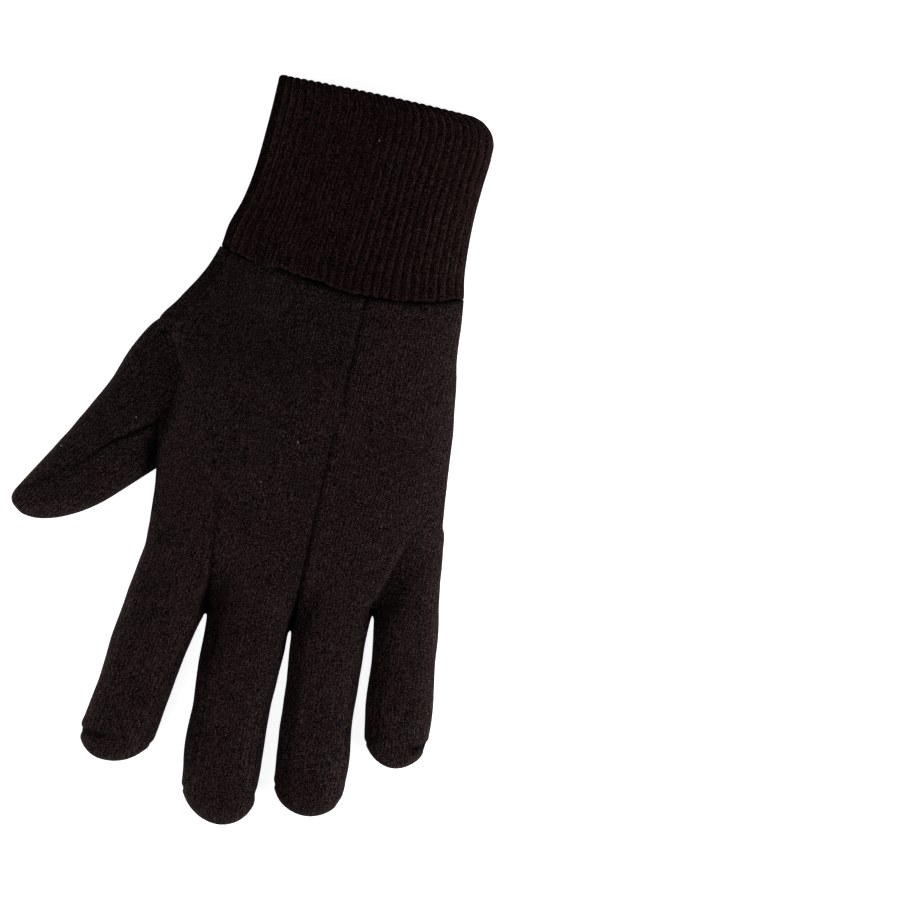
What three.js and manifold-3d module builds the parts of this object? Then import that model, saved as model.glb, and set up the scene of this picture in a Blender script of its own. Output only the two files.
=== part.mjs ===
// A knitted jersey work glove for the left hand, lying palm down.
// Millimetres, +Z up. The fingers point along -Y and the knitted wrist along +Y.
// While it is built, x = 0, y = 0 is the middle of the wrist seam. At the end the
// whole glove is moved so that the origin is under the middle of its outline.

import * as THREE from 'three';
import { mergeVertices } from 'three/addons/utils/BufferGeometryUtils.js';
import Module from 'manifold-3d';

const wasm = await Module();
wasm.setup();

// Driving dimensions

const jerseyWall = 1.8;          // fleece-backed jersey of the hand
const ribWall = 2.8;             // double rib knit of the wrist
const seamGap = 0.3;             // clearance that is left along every seam

const cuffLength = 65.7;         // wrist seam to the mouth
const cuffWidth = 86;            // laid flat, at the wrist seam
const cuffThickness = 16;        // laid flat, through both layers and the air between
const ribCount = 56;
const ribDepth = 0.7;

const handLength = 125.5;        // wrist seam to the crotches of the middle finger
const handWidth = 104;           // across the knuckles
const handThickness = 20;
const wristSeamDip = 6;          // how far the wrist seam bows towards the fingers

const fingerThickness = 15.5;
const indexLength = 86.3;        // from the root inside the hand to the tip
const middleLength = 98.8;
const ringLength = 89.4;
const littleLength = 74.9;
const thumbLength = 87.4;
const thumbWidth = 29;
const thumbThickness = 13;
const thumbLean = 38.4;          // degrees from the glove's axis

const sideSeamHeight = 5.6;      // palm and back are sewn together at this height
const thumbSeamHeight = 3.4;
const fourchetteOnLeft = 4.4;    // strip that shows on the left side of a finger
const fourchetteOnRight = 1.8;   // strip that shows on the right side of a finger
const fourchetteRise = 9;        // point of the strip above the crotch

// Tables of sections, as shares of the sizes above

// along: share of handLength from the wrist seam towards the fingers
// left, right: edges as shares of handWidth
// top, rise: heights of the back and of the underside as shares of handThickness
const handRows = [
  { along: -0.06, left: -0.405, right: 0.415, top: 0.80, rise: 0 },
  { along: 0.06, left: -0.438, right: 0.432, top: 0.84, rise: 0 },
  { along: 0.16, left: -0.508, right: 0.444, top: 0.90, rise: 0 },
  { along: 0.235, left: -0.560, right: 0.461, top: 0.95, rise: 0 },
  { along: 0.29, left: -0.542, right: 0.469, top: 0.99, rise: 0 },
  { along: 0.35, left: -0.513, right: 0.481, top: 1.00, rise: 0 },
  { along: 0.49, left: -0.486, right: 0.502, top: 1.00, rise: 0 },
  { along: 0.66, left: -0.453, right: 0.529, top: 0.96, rise: 0 },
  { along: 0.78, left: -0.447, right: 0.541, top: 0.87, rise: 0 },
  { along: 0.85, left: -0.442, right: 0.540, top: 0.76, rise: 0.02 },
  { along: 0.895, left: -0.430, right: 0.530, top: 0.56, rise: 0.16 },
];

// along: share of cuffLength from the wrist seam to the mouth
// left, right: edges as shares of cuffWidth; top: share of cuffThickness
const cuffRows = [
  { along: -0.15, left: -0.515, right: 0.516, top: 1.00 },
  { along: 0.0, left: -0.494, right: 0.508, top: 1.00 },
  { along: 0.15, left: -0.460, right: 0.490, top: 0.97 },
  { along: 0.42, left: -0.429, right: 0.480, top: 0.92 },
  { along: 0.80, left: -0.414, right: 0.494, top: 0.93 },
  { along: 0.89, left: -0.413, right: 0.486, top: 0.93 },
  { along: 0.95, left: -0.412, right: 0.453, top: 0.92 },
  { along: 0.985, left: -0.408, right: 0.410, top: 0.89 },
  { along: 1.0, left: -0.398, right: 0.380, top: 0.84 },
];

// across, along: the finger's root as shares of handWidth and handLength
// lean in degrees, width as a share of handWidth
// thick: share of fingerThickness; tipShift: share of the finger's width
// rows: s is the share of the length, left and right are shares of the width
const fingers = {
  index: {
    across: -0.303, along: 0.781, length: indexLength, lean: -7.2, width: 0.25,
    thick: 1.0, tipStart: 0.86, tipShift: -0.10,
    rows: [
      { s: -0.12, left: -0.52, right: 0.58, top: 0.90 },
      { s: 0.35, left: -0.525, right: 0.545, top: 1.00 },
      { s: 0.50, left: -0.525, right: 0.480, top: 1.00 },
      { s: 0.70, left: -0.495, right: 0.460, top: 0.97 },
      { s: 0.86, left: -0.505, right: 0.455, top: 0.93 },
    ],
  },
  middle: {
    across: -0.056, along: 0.781, length: middleLength, lean: 2.3, width: 0.269,
    thick: 1.05, tipStart: 0.87, tipShift: 0.06,
    rows: [
      { s: -0.12, left: -0.57, right: 0.60, top: 0.90 },
      { s: 0.30, left: -0.550, right: 0.520, top: 1.00 },
      { s: 0.45, left: -0.540, right: 0.462, top: 1.00 },
      { s: 0.60, left: -0.511, right: 0.429, top: 0.98 },
      { s: 0.72, left: -0.528, right: 0.448, top: 0.97 },
      { s: 0.87, left: -0.482, right: 0.440, top: 0.93 },
    ],
  },
  ring: {
    across: 0.217, along: 0.781, length: ringLength, lean: 3.8, width: 0.25,
    thick: 1.0, tipStart: 0.87, tipShift: 0.01,
    rows: [
      { s: -0.12, left: -0.61, right: 0.55, top: 0.90 },
      { s: 0.30, left: -0.565, right: 0.480, top: 1.00 },
      { s: 0.45, left: -0.520, right: 0.460, top: 1.00 },
      { s: 0.66, left: -0.505, right: 0.440, top: 0.98 },
      { s: 0.87, left: -0.480, right: 0.500, top: 0.93 },
    ],
  },
  little: {
    across: 0.444, along: 0.717, length: littleLength, lean: 6.9, width: 0.221,
    thick: 0.94, tipStart: 0.84, tipShift: 0.01,
    rows: [
      { s: -0.12, left: -0.56, right: 0.44, top: 0.90 },
      { s: 0.35, left: -0.515, right: 0.475, top: 1.00 },
      { s: 0.50, left: -0.492, right: 0.490, top: 1.00 },
      { s: 0.70, left: -0.510, right: 0.513, top: 0.97 },
      { s: 0.84, left: -0.470, right: 0.480, top: 0.93 },
    ],
  },
};

// s: share of thumbLength; left, right: shares of thumbWidth; top: share of thumbThickness
const thumbRoot = { across: -0.343, along: 0.298 };
const thumbRows = [
  { s: 0.0, left: -0.74, right: 0.50, top: 0.80 },
  { s: 0.10, left: -0.80, right: 0.52, top: 0.86 },
  { s: 0.23, left: -0.74, right: 0.55, top: 0.95 },
  { s: 0.39, left: -0.586, right: 0.565, top: 1.00 },
  { s: 0.51, left: -0.507, right: 0.535, top: 1.00 },
  { s: 0.635, left: -0.428, right: 0.495, top: 0.97 },
  { s: 0.745, left: -0.383, right: 0.438, top: 0.92 },
  { s: 0.86, left: -0.341, right: 0.317, top: 0.83 },
  { s: 0.92, left: -0.310, right: 0.210, top: 0.76 },
  { s: 0.96, left: -0.288, right: 0.110, top: 0.68 },
  { s: 1.0, left: -0.245, right: -0.050, top: 0.55 },
];

// Seams on the back of the hand, x and y as shares of handWidth and handLength
const indexMiddleSeam = [
  { across: -0.250, along: -0.06 },
  { across: -0.244, along: 0.34 },
  { across: -0.218, along: 0.78 },
];
const middleRingSeam = [
  { across: 0.112, along: -0.06 },
  { across: 0.106, along: 0.48 },
  { across: 0.103, along: 0.78 },
];
// Seam along the thumb, s as a share of its length, side as a share of its width
const thumbSeam = [
  { s: -0.10, side: 0.20 },
  { s: 0.40, side: 0.115 },
  { s: 0.56, side: -0.02 },
  { s: 0.66, side: -0.02 },
  { s: 0.91, side: -0.21 },
  { s: 1.05, side: -0.60 },
];

// Sections of flattened tubes

const handSquareness = 3.2;      // exponent of the rounded top of the hand and the cuff
const fingerSquareness = 2.3;    // exponent of the rounded top of a finger
const foldHeight = 0.42;         // height of the side folds, as a share of the thickness
const foldReach = 1.15;          // how far the lower round reaches in, per height of the fold
const widestReach = 0.8;         // the lower rounds never take more of the half width
const flatShare = 0.5;           // share of a lower quarter's steps on its flat part
const outlineSteps = 48;         // fine steps for each quarter of a section
const lastTurn = 1 - 1e-9;       // just short of the start of the next turn
const weldDistance = 1e-4;       // corners that lie closer than this are one corner

// One point of a flattened tube's section: flat below, round folds at the sides and
// a full top. turn runs from 0 at the middle of the underside once round to 1.
function sectionPoint(section, offset, turn) {
  const { left, right, top, squareness, rise = 0 } = section;
  const middle = (left + right) / 2;
  const half = (right - left) / 2 - offset;
  const fold = rise + (top - rise) * foldHeight;
  const floor = rise + offset;
  const side = turn < 0.5 ? 1 : -1;
  const quarter = (turn < 0.5 ? turn : 1 - turn) * 4;
  if (quarter <= 1) {
    const reach = Math.min((fold - rise) * foldReach, half * widestReach);
    if (quarter <= flatShare) {
      return [middle + side * (half - reach) * (quarter / flatShare), floor];
    }
    const angle = ((quarter - flatShare) / (1 - flatShare)) * Math.PI / 2;
    const x = half - reach + reach * Math.sin(angle);
    return [middle + side * x, fold - (fold - floor) * Math.cos(angle)];
  }
  const angle = (quarter - 1) * Math.PI / 2;
  const over = Math.max(Math.cos(angle), 0);
  const up = Math.sin(angle);
  const reach = (over ** squareness + up ** squareness) ** (-1 / squareness);
  return [middle + side * half * over * reach, fold + (top - offset - fold) * up * reach];
}

// The turns at which each quarter of a section is divided into equal lengths, so
// that the side folds always fall on a corner
function evenTurns(section, count) {
  const turns = [];
  for (let quarter = 0; quarter < 4; quarter += 1) {
    const turnAt = (step) => (quarter + step / outlineSteps) / 4;
    const lengths = [0];
    for (let step = 1; step <= outlineSteps; step += 1) {
      const [x0, z0] = sectionPoint(section, 0, turnAt(step - 1));
      const [x1, z1] = sectionPoint(section, 0, Math.min(turnAt(step), lastTurn));
      lengths.push(lengths[step - 1] + Math.hypot(x1 - x0, z1 - z0));
    }
    let step = 0;
    for (let k = 0; k < count / 4; k += 1) {
      const target = (lengths[outlineSteps] * k * 4) / count;
      while (lengths[step + 1] < target) {
        step += 1;
      }
      const part = (target - lengths[step]) / (lengths[step + 1] - lengths[step]);
      turns.push(turnAt(step + part));
    }
  }
  return turns;
}

// An axis on the floor: where it starts, and which way it runs
function axisFrom(x, y, leanDegrees) {
  const lean = THREE.MathUtils.degToRad(leanDegrees);
  return {
    start: new THREE.Vector2(x, y),
    ahead: new THREE.Vector2(Math.sin(lean), -Math.cos(lean)),
    across: new THREE.Vector2(Math.cos(lean), Math.sin(lean)),
  };
}

function placeOn(axis, along, side) {
  return axis.start.clone().addScaledVector(axis.ahead, along).addScaledVector(axis.across, side);
}

// A closed solid through a row of sections. Each section has its place along the axis.
// offset draws the whole section in; ribs draws in every second point of it.
function loft(axis, sections, count, offset, ribs = 0) {
  const positions = [];
  const triangles = [];
  for (const section of sections) {
    const turns = evenTurns(section, count);
    turns.forEach((turn, k) => {
      const drawnIn = offset + (k % 2 === 1 ? ribs : 0);
      const [side, z] = sectionPoint(section, drawnIn, turn);
      const place = placeOn(axis, section.along, side);
      positions.push(place.x, place.y, z);
    });
  }
  for (let row = 0; row + 1 < sections.length; row += 1) {
    for (let k = 0; k < count; k += 1) {
      const a = row * count + k;
      const b = row * count + ((k + 1) % count);
      triangles.push(a, b, b + count, a, b + count, a + count);
    }
  }
  for (const [row, flip] of [[0, true], [sections.length - 1, false]]) {
    const { left, right, top, along, rise = 0 } = sections[row];
    const centre = placeOn(axis, along, (left + right) / 2);
    const hub = positions.length / 3;
    positions.push(centre.x, centre.y, (top + rise) / 2);
    for (let k = 0; k < count; k += 1) {
      const a = row * count + k;
      const b = row * count + ((k + 1) % count);
      triangles.push(...(flip ? [hub, b, a] : [hub, a, b]));
    }
  }
  const geometry = new THREE.BufferGeometry();
  geometry.setAttribute('position', new THREE.Float32BufferAttribute(positions, 3));
  geometry.setIndex(triangles);
  return toSolid(geometry);
}

// Solids and meshes

function toSolid(geometry) {
  const bare = geometry.clone();
  bare.deleteAttribute('normal');
  bare.deleteAttribute('uv');
  const merged = mergeVertices(bare, weldDistance);
  const mesh = new wasm.Mesh({
    numProp: 3,
    vertProperties: new Float32Array(merged.attributes.position.array),
    triVerts: new Uint32Array(merged.index.array),
  });
  return new wasm.Manifold(mesh);
}

function toMesh(name, solid, material) {
  const { vertProperties, triVerts, numProp } = solid.getMesh();
  const positions = [];
  for (let i = 0; i < vertProperties.length; i += numProp) {
    positions.push(vertProperties[i], vertProperties[i + 1], vertProperties[i + 2]);
  }
  const geometry = new THREE.BufferGeometry();
  geometry.setAttribute('position', new THREE.Float32BufferAttribute(positions, 3));
  geometry.setIndex(Array.from(triVerts));
  geometry.computeVertexNormals();
  const mesh = new THREE.Mesh(geometry, material);
  mesh.name = name;
  return mesh;
}

// A cutter: a plan outline, standing from low to high
function standingOutline(points, low, high) {
  const shape = new THREE.Shape(points);
  const geometry = new THREE.ExtrudeGeometry(shape, { depth: high - low, bevelEnabled: false });
  geometry.translate(0, 0, low);
  return toSolid(geometry);
}

// The loose bits that a cut can leave are dropped: the piece is its largest part
function mainPart(solid) {
  const parts = solid.decompose();
  return parts.reduce((best, part) => (part.volume() > best.volume() ? part : best));
}

const handSides = 32;            // sides of the hand's faceted tube
const fingerSides = 20;          // sides of a finger's or the thumb's
const mouthOverrun = 5;          // the cutter of the wrist's hollow runs this far past it

const far = 2 * (handLength + cuffLength);
const ceiling = 2 * handThickness;

// The hand: a palm tube and four finger tubes that run into each other

function handSolid(offset) {
  const axis = axisFrom(0, 0, 0);
  const sections = handRows.map((row) => ({
    along: row.along * handLength,
    left: row.left * handWidth,
    right: row.right * handWidth,
    top: row.top * handThickness,
    rise: row.rise * handThickness,
    squareness: handSquareness,
  }));
  sections[0].along -= offset;
  sections[sections.length - 1].along -= offset;
  return loft(axis, sections, handSides, offset);
}

function fingerAxis(finger) {
  return axisFrom(finger.across * handWidth, -finger.along * handLength, finger.lean);
}

// The left and right edges of a finger, interpolated between the rows of its table
function fingerEdge(finger, side, s) {
  const { rows } = finger;
  let i = 0;
  while (i < rows.length - 2 && s > rows[i + 1].s) {
    i += 1;
  }
  const part = THREE.MathUtils.clamp((s - rows[i].s) / (rows[i + 1].s - rows[i].s), 0, 1);
  return THREE.MathUtils.lerp(rows[i][side], rows[i + 1][side], part) * finger.width * handWidth;
}

const tipAngles = [32, 60, 80];
const tipThickness = 0.42;       // thickness left at the very tip, as a share

function fingerSolid(finger, offset) {
  const width = finger.width * handWidth;
  const top = finger.thick * fingerThickness;
  const sections = finger.rows.map((row) => ({
    along: row.s * finger.length,
    left: row.left * width,
    right: row.right * width,
    top: row.top * top,
    squareness: fingerSquareness,
  }));
  const last = sections[sections.length - 1];
  const middle = (last.left + last.right) / 2;
  const half = (last.right - last.left) / 2;
  const tipLength = finger.length * (1 - finger.tipStart) - offset;
  for (const degrees of tipAngles) {
    const angle = THREE.MathUtils.degToRad(degrees);
    const narrow = Math.cos(angle);
    const centre = middle + finger.tipShift * width * Math.sin(angle);
    // the offset is taken off again by the loft, so it is shared out here
    const reach = (half - offset) * narrow + offset;
    sections.push({
      along: last.along + tipLength * Math.sin(angle),
      left: centre - reach,
      right: centre + reach,
      top: last.top * (tipThickness + (1 - tipThickness) * narrow),
      squareness: fingerSquareness,
    });
  }
  return loft(fingerAxis(finger), sections, fingerSides, offset);
}

function bodySolid(offset) {
  let solid = handSolid(offset);
  for (const finger of Object.values(fingers)) {
    solid = solid.add(fingerSolid(finger, offset));
  }
  return solid;
}

// The thumb: a tube of its own, sewn into the palm's side

const thumbAxis = axisFrom(thumbRoot.across * handWidth, -thumbRoot.along * handLength, -thumbLean);

function thumbSolid(offset) {
  const sections = thumbRows.map((row) => ({
    along: row.s * thumbLength,
    left: row.left * thumbWidth,
    right: row.right * thumbWidth,
    top: row.top * thumbThickness,
    squareness: fingerSquareness,
  }));
  sections[sections.length - 1].along -= offset;
  return loft(thumbAxis, sections, fingerSides, offset);
}

// Outlines of the cuts, seen from above

const seamHalfSpan = 0.6;        // half the span of the wrist seam's arc, per cuffWidth
const seamEndsUp = 0.35;         // how far its ends lie towards the mouth, per wristSeamDip
const seamPull = 2.15;           // how far its handle lies towards the fingers, per wristSeamDip
const seamSteps = 12;

// The wrist seam bows towards the fingers in the middle
function wristSide(shift, towardsFingers) {
  const endAcross = cuffWidth * seamHalfSpan;
  const endAlong = wristSeamDip * seamEndsUp + shift;
  const edge = new THREE.QuadraticBezierCurve(
    new THREE.Vector2(-endAcross, endAlong),
    new THREE.Vector2(0, shift - wristSeamDip * seamPull),
    new THREE.Vector2(endAcross, endAlong),
  );
  const points = edge.getPoints(seamSteps);
  const end = towardsFingers ? -far : far;
  points.push(new THREE.Vector2(far, points[points.length - 1].y));
  points.push(new THREE.Vector2(far, end), new THREE.Vector2(-far, end));
  points.push(new THREE.Vector2(-far, points[0].y));
  return standingOutline(points, -ceiling, ceiling);
}

const crotchStep = 0.005;        // step of the search, as a share of the finger's length

// Where two fingers part: going down from their roots, the first place that is
// clear of both
function crotchBetween(leftFinger, rightFinger) {
  for (let s = 0; s < 1; s += crotchStep) {
    const axis = fingerAxis(leftFinger);
    const point = placeOn(axis, s * leftFinger.length, fingerEdge(leftFinger, 'right', s));
    const other = fingerAxis(rightFinger);
    const along = point.clone().sub(other.start).dot(other.ahead);
    const side = point.clone().sub(other.start).dot(other.across);
    const share = along / rightFinger.length;
    if (side < fingerEdge(rightFinger, 'left', share)) {
      return { point, leftShare: s, rightShare: share };
    }
  }
  throw new Error('two fingers never part');
}

const edgeSteps = 5;

// Points along one edge of a finger, moved inwards by inset
function edgePoints(finger, side, inset, from, to) {
  const axis = fingerAxis(finger);
  const inward = side === 'right' ? -inset : inset;
  const points = [];
  for (let i = 0; i <= edgeSteps; i += 1) {
    const s = THREE.MathUtils.lerp(from, to, i / edgeSteps);
    points.push(placeOn(axis, s * finger.length, fingerEdge(finger, side, s) + inward));
  }
  return points;
}

const fourchetteEnd = 0.84;      // where the strip starts to run out, as a share of the finger
const tipOfFourchette = 0.93;    // where it has run out past the edge
const beyondEdge = 3;            // and how far past it, in millimetres

// The strip between two fingers: down the side of one, round the crotch, up the other
function fourchetteOutline({ leftFinger, rightFinger, apexShift }, grow) {
  const { point, leftShare, rightShare } = crotchBetween(leftFinger, rightFinger);
  const apex = new THREE.Vector2(point.x + apexShift, point.y + fourchetteRise + 2 * grow);
  const down = edgePoints(leftFinger, 'right', fourchetteOnRight + grow, leftShare, fourchetteEnd);
  const up = edgePoints(rightFinger, 'left', fourchetteOnLeft + grow, rightShare, fourchetteEnd);
  const downEnd = placeOn(
    fingerAxis(leftFinger),
    tipOfFourchette * leftFinger.length,
    fingerEdge(leftFinger, 'right', tipOfFourchette) + beyondEdge - grow,
  );
  const upEnd = placeOn(
    fingerAxis(rightFinger),
    tipOfFourchette * rightFinger.length,
    fingerEdge(rightFinger, 'left', tipOfFourchette) - beyondEdge + grow,
  );
  return [apex, ...down, downEnd, upEnd, ...up.reverse()];
}

// The line between two back panels: the seam, then the gap between the fingers
function dividerPoints(seam, leftFinger, rightFinger, shift) {
  const { point } = crotchBetween(leftFinger, rightFinger);
  const leftTip = placeOn(fingerAxis(leftFinger), leftFinger.length, 0);
  const rightTip = placeOn(fingerAxis(rightFinger), rightFinger.length, 0);
  const points = seam.map((row) => new THREE.Vector2(row.across * handWidth, -row.along * handLength));
  points.unshift(new THREE.Vector2(points[0].x, far));
  points.push(point, leftTip.add(rightTip).divideScalar(2));
  points.push(new THREE.Vector2(points[points.length - 1].x, -far));
  return points.map((p) => new THREE.Vector2(p.x + shift, p.y));
}

// Cutting the hand into its panels

const halfGap = seamGap / 2;
const aboveSideSeam = sideSeamHeight + halfGap;
const belowSideSeam = sideSeamHeight - halfGap;

const bodyOuter = bodySolid(0);
const bodyInner = bodySolid(jerseyWall);
const thumbOuter = thumbSolid(0);
const thumbInner = thumbSolid(jerseyWall);

const handSide = wristSide(-halfGap, true);
const bodyShell = bodyOuter.subtract(bodyInner).intersect(handSide).subtract(thumbInner);

function plate(low, high) {
  const corners = [[-far, -far], [far, -far], [far, far], [-far, far]];
  return standingOutline(corners.map(([x, y]) => new THREE.Vector2(x, y)), low, high);
}

const upperShell = bodyShell.intersect(plate(aboveSideSeam, ceiling));
const lowerShell = bodyShell.intersect(plate(-ceiling, belowSideSeam));

// apexShift: how far to the side of the crotch the strip has its point, in millimetres
const pairs = {
  index_middle: { leftFinger: fingers.index, rightFinger: fingers.middle, apexShift: -1.2 },
  middle_ring: { leftFinger: fingers.middle, rightFinger: fingers.ring, apexShift: 0.4 },
  ring_little: { leftFinger: fingers.ring, rightFinger: fingers.little, apexShift: 3.0 },
};

let upperWithoutStrips = upperShell;
const fourchettes = {};
for (const [name, pair] of Object.entries(pairs)) {
  const strip = fourchetteOutline(pair, 0);
  const room = fourchetteOutline(pair, seamGap);
  fourchettes[name] = mainPart(upperShell.intersect(standingOutline(strip, 0, ceiling)));
  upperWithoutStrips = upperWithoutStrips.subtract(standingOutline(room, 0, ceiling));
}

function panelBetween(leftLine, rightLine) {
  const outline = [...leftLine, ...[...rightLine].reverse()];
  return mainPart(upperWithoutStrips.intersect(standingOutline(outline, 0, ceiling)));
}

const farLeft = [new THREE.Vector2(-far, far), new THREE.Vector2(-far, -far)];
const farRight = [new THREE.Vector2(far, far), new THREE.Vector2(far, -far)];
const indexPanel = panelBetween(
  farLeft,
  dividerPoints(indexMiddleSeam, fingers.index, fingers.middle, -halfGap),
);
const middlePanel = panelBetween(
  dividerPoints(indexMiddleSeam, fingers.index, fingers.middle, halfGap),
  dividerPoints(middleRingSeam, fingers.middle, fingers.ring, -halfGap),
);
const ringLittlePanel = panelBetween(
  dividerPoints(middleRingSeam, fingers.middle, fingers.ring, halfGap),
  farRight,
);

// Cutting the thumb into its two pieces, clear of the hand

const thumbShell = thumbOuter.subtract(thumbInner).subtract(bodySolid(-seamGap)).subtract(bodyInner);

function thumbSide(shift) {
  const points = thumbSeam.map((row) =>
    placeOn(thumbAxis, row.s * thumbLength, row.side * thumbWidth + shift));
  const seamEnd = thumbSeam[thumbSeam.length - 1].s * thumbLength;
  points.push(placeOn(thumbAxis, seamEnd, -far), placeOn(thumbAxis, -far, -far));
  points.push(placeOn(thumbAxis, -far, thumbSeam[0].side * thumbWidth + shift));
  return points;
}

const thumbBackRoom = standingOutline(thumbSide(halfGap), thumbSeamHeight - halfGap, ceiling);
const thumbBackSide = standingOutline(thumbSide(-halfGap), thumbSeamHeight + halfGap, ceiling);
const thumbBack = mainPart(thumbShell.intersect(thumbBackSide));
const thumbFront = mainPart(thumbShell.subtract(thumbBackRoom));

// The knitted wrist: a ribbed tube, smooth inside

function cuffSolid(offset, count, ribs, pastMouth) {
  const sections = cuffRows.map((row) => ({
    along: -row.along * cuffLength,
    left: row.left * cuffWidth,
    right: row.right * cuffWidth,
    top: row.top * cuffThickness,
    squareness: handSquareness,
  }));
  if (pastMouth > 0) {
    sections.push({ ...sections[sections.length - 1], along: -cuffLength - pastMouth });
    sections.unshift({ ...sections[0], along: sections[0].along + pastMouth });
  }
  return loft(axisFrom(0, 0, 0), sections.reverse(), count, offset, ribs);
}

const cuffOuter = cuffSolid(0, ribCount * 2, ribDepth, 0);
const cuffInner = cuffSolid(ribWall, handSides, 0, mouthOverrun);
const cuffSide = wristSide(halfGap, false);
const cuff = mainPart(cuffOuter.subtract(cuffInner).intersect(cuffSide));

// The assembled glove

const jerseyCloth = new THREE.MeshStandardMaterial({ color: 0x2a1f1e, roughness: 1, metalness: 0 });
const ribCloth = new THREE.MeshStandardMaterial({ color: 0x1e1413, roughness: 1, metalness: 0 });

const glove = new THREE.Group();
glove.add(toMesh('knit_cuff', cuff, ribCloth));
glove.add(toMesh('palm_panel', mainPart(lowerShell), jerseyCloth));
glove.add(toMesh('back_panel_index', indexPanel, jerseyCloth));
glove.add(toMesh('back_panel_middle', middlePanel, jerseyCloth));
glove.add(toMesh('back_panel_ring_little', ringLittlePanel, jerseyCloth));
for (const [name, solid] of Object.entries(fourchettes)) {
  glove.add(toMesh(`fourchette_${name}`, solid, jerseyCloth));
}
glove.add(toMesh('thumb_back', thumbBack, jerseyCloth));
glove.add(toMesh('thumb_front', thumbFront, jerseyCloth));

const box = new THREE.Box3().setFromObject(glove);
const centre = box.getCenter(new THREE.Vector3());
glove.position.set(-centre.x, -centre.y, -box.min.z);

export default glove;
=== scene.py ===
# %% [markdown]
# A jersey work glove, lying palm down
#
# The real glove is sewn from fleece-backed cotton jersey: one palm with the fronts of the
# fingers, three back panels, a narrow strip between each two fingers, a thumb of two
# pieces and a wrist of double rib knit. The seams are turned in, so they show as creases.
# This lesson makes one smooth skin for the hand and one for the thumb, presses the
# creases and dents into them, cuts them along the seams into the real pieces and gives
# each piece the thickness of its cloth. The wrist is knitted rib by rib.

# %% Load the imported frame
import math

import bpy
import numpy as np
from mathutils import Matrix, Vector
from mathutils.bvhtree import BVHTree


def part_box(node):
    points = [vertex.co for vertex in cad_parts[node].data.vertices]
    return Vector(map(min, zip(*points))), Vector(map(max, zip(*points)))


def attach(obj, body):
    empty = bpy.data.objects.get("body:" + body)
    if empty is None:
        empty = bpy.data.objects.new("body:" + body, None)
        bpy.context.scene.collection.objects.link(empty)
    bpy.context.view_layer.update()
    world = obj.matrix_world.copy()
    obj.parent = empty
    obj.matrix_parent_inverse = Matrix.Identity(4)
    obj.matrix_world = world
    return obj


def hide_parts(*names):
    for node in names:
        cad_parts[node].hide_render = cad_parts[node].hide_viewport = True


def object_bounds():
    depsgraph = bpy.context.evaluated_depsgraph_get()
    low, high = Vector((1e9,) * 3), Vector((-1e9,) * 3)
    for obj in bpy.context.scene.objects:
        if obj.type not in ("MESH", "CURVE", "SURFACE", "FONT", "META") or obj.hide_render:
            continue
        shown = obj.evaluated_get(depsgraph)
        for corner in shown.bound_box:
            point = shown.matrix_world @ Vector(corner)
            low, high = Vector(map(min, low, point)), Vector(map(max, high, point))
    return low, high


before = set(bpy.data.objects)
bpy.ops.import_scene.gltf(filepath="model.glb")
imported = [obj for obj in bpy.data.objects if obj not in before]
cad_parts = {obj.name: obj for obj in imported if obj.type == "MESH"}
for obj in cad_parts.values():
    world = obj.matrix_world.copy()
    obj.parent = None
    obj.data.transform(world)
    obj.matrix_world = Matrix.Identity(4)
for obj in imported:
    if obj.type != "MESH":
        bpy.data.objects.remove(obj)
cad_low, cad_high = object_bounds()
print("CAD box in mm:", [round(v * 1000, 1) for v in (*cad_low, *cad_high)])

# %% [markdown]
# Lengths are written in millimetres, measured from the middle of the wrist seam, with +Y
# towards the mouth of the wrist. The frame's own origin lies under the middle of the
# glove, so every mesh is shifted by one vector when it is made. The shift comes from the
# frame: the mouth of the wrist and the thumb's outermost point are its known edges.

# %% Sizes of the glove
MM = 0.001
CUFF_LENGTH = 65.7
CUFF_WIDTH = 86.0
CUFF_THICKNESS = 16.0
HAND_LENGTH = 125.5
HAND_WIDTH = 104.0
HAND_THICKNESS = 20.0
FINGER_THICKNESS = 15.5
THUMB_LENGTH = 87.4
THUMB_WIDTH = 29.0
THUMB_THICKNESS = 13.0
THUMB_LEAN = 38.4
THUMB_REACH = 95.5
JERSEY = 1.8
RIB_CLOTH = 2.8

shift = np.array([
    cad_low.x / MM + THUMB_REACH,
    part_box("knit_cuff")[1].y / MM - CUFF_LENGTH,
    0.0,
])
print("wrist seam in the frame, mm:", shift.round(2))

# %% [markdown]
# The sections of the tubes are short tables, as a pattern maker would note them. Edges
# and heights are shares of the sizes above. Between the rows a smooth curve is drawn, so
# the skin has no corners where a row falls.

# %% Tables of the hand, the wrist and the thumb
# along, left, right, top, rise
HAND_ROWS = np.array([
    (-0.10, -0.392, 0.405, 0.80, 0.00),
    (-0.02, -0.408, 0.421, 0.80, 0.00),
    (0.06, -0.438, 0.432, 0.84, 0.00),
    (0.16, -0.508, 0.444, 0.90, 0.00),
    (0.235, -0.562, 0.461, 0.95, 0.00),
    (0.29, -0.542, 0.469, 0.99, 0.00),
    (0.35, -0.513, 0.481, 1.00, 0.00),
    (0.49, -0.486, 0.502, 1.00, 0.00),
    (0.66, -0.453, 0.523, 0.96, 0.00),
    (0.78, -0.447, 0.532, 0.87, 0.00),
    (0.85, -0.442, 0.540, 0.76, 0.02),
    (0.895, -0.430, 0.530, 0.58, 0.16),
])
# along, left, right, top
CUFF_ROWS = np.array([
    (-0.15, -0.515, 0.516, 1.02),
    (0.00, -0.494, 0.508, 1.00),
    (0.12, -0.484, 0.493, 0.97),
    (0.28, -0.450, 0.483, 0.94),
    (0.46, -0.427, 0.480, 0.92),
    (0.64, -0.419, 0.486, 0.92),
    (0.80, -0.414, 0.494, 0.93),
    (0.88, -0.413, 0.489, 0.93),
    (0.95, -0.412, 0.455, 0.92),
    (0.985, -0.411, 0.415, 0.90),
    (1.00, -0.408, 0.385, 0.88),
])
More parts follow.
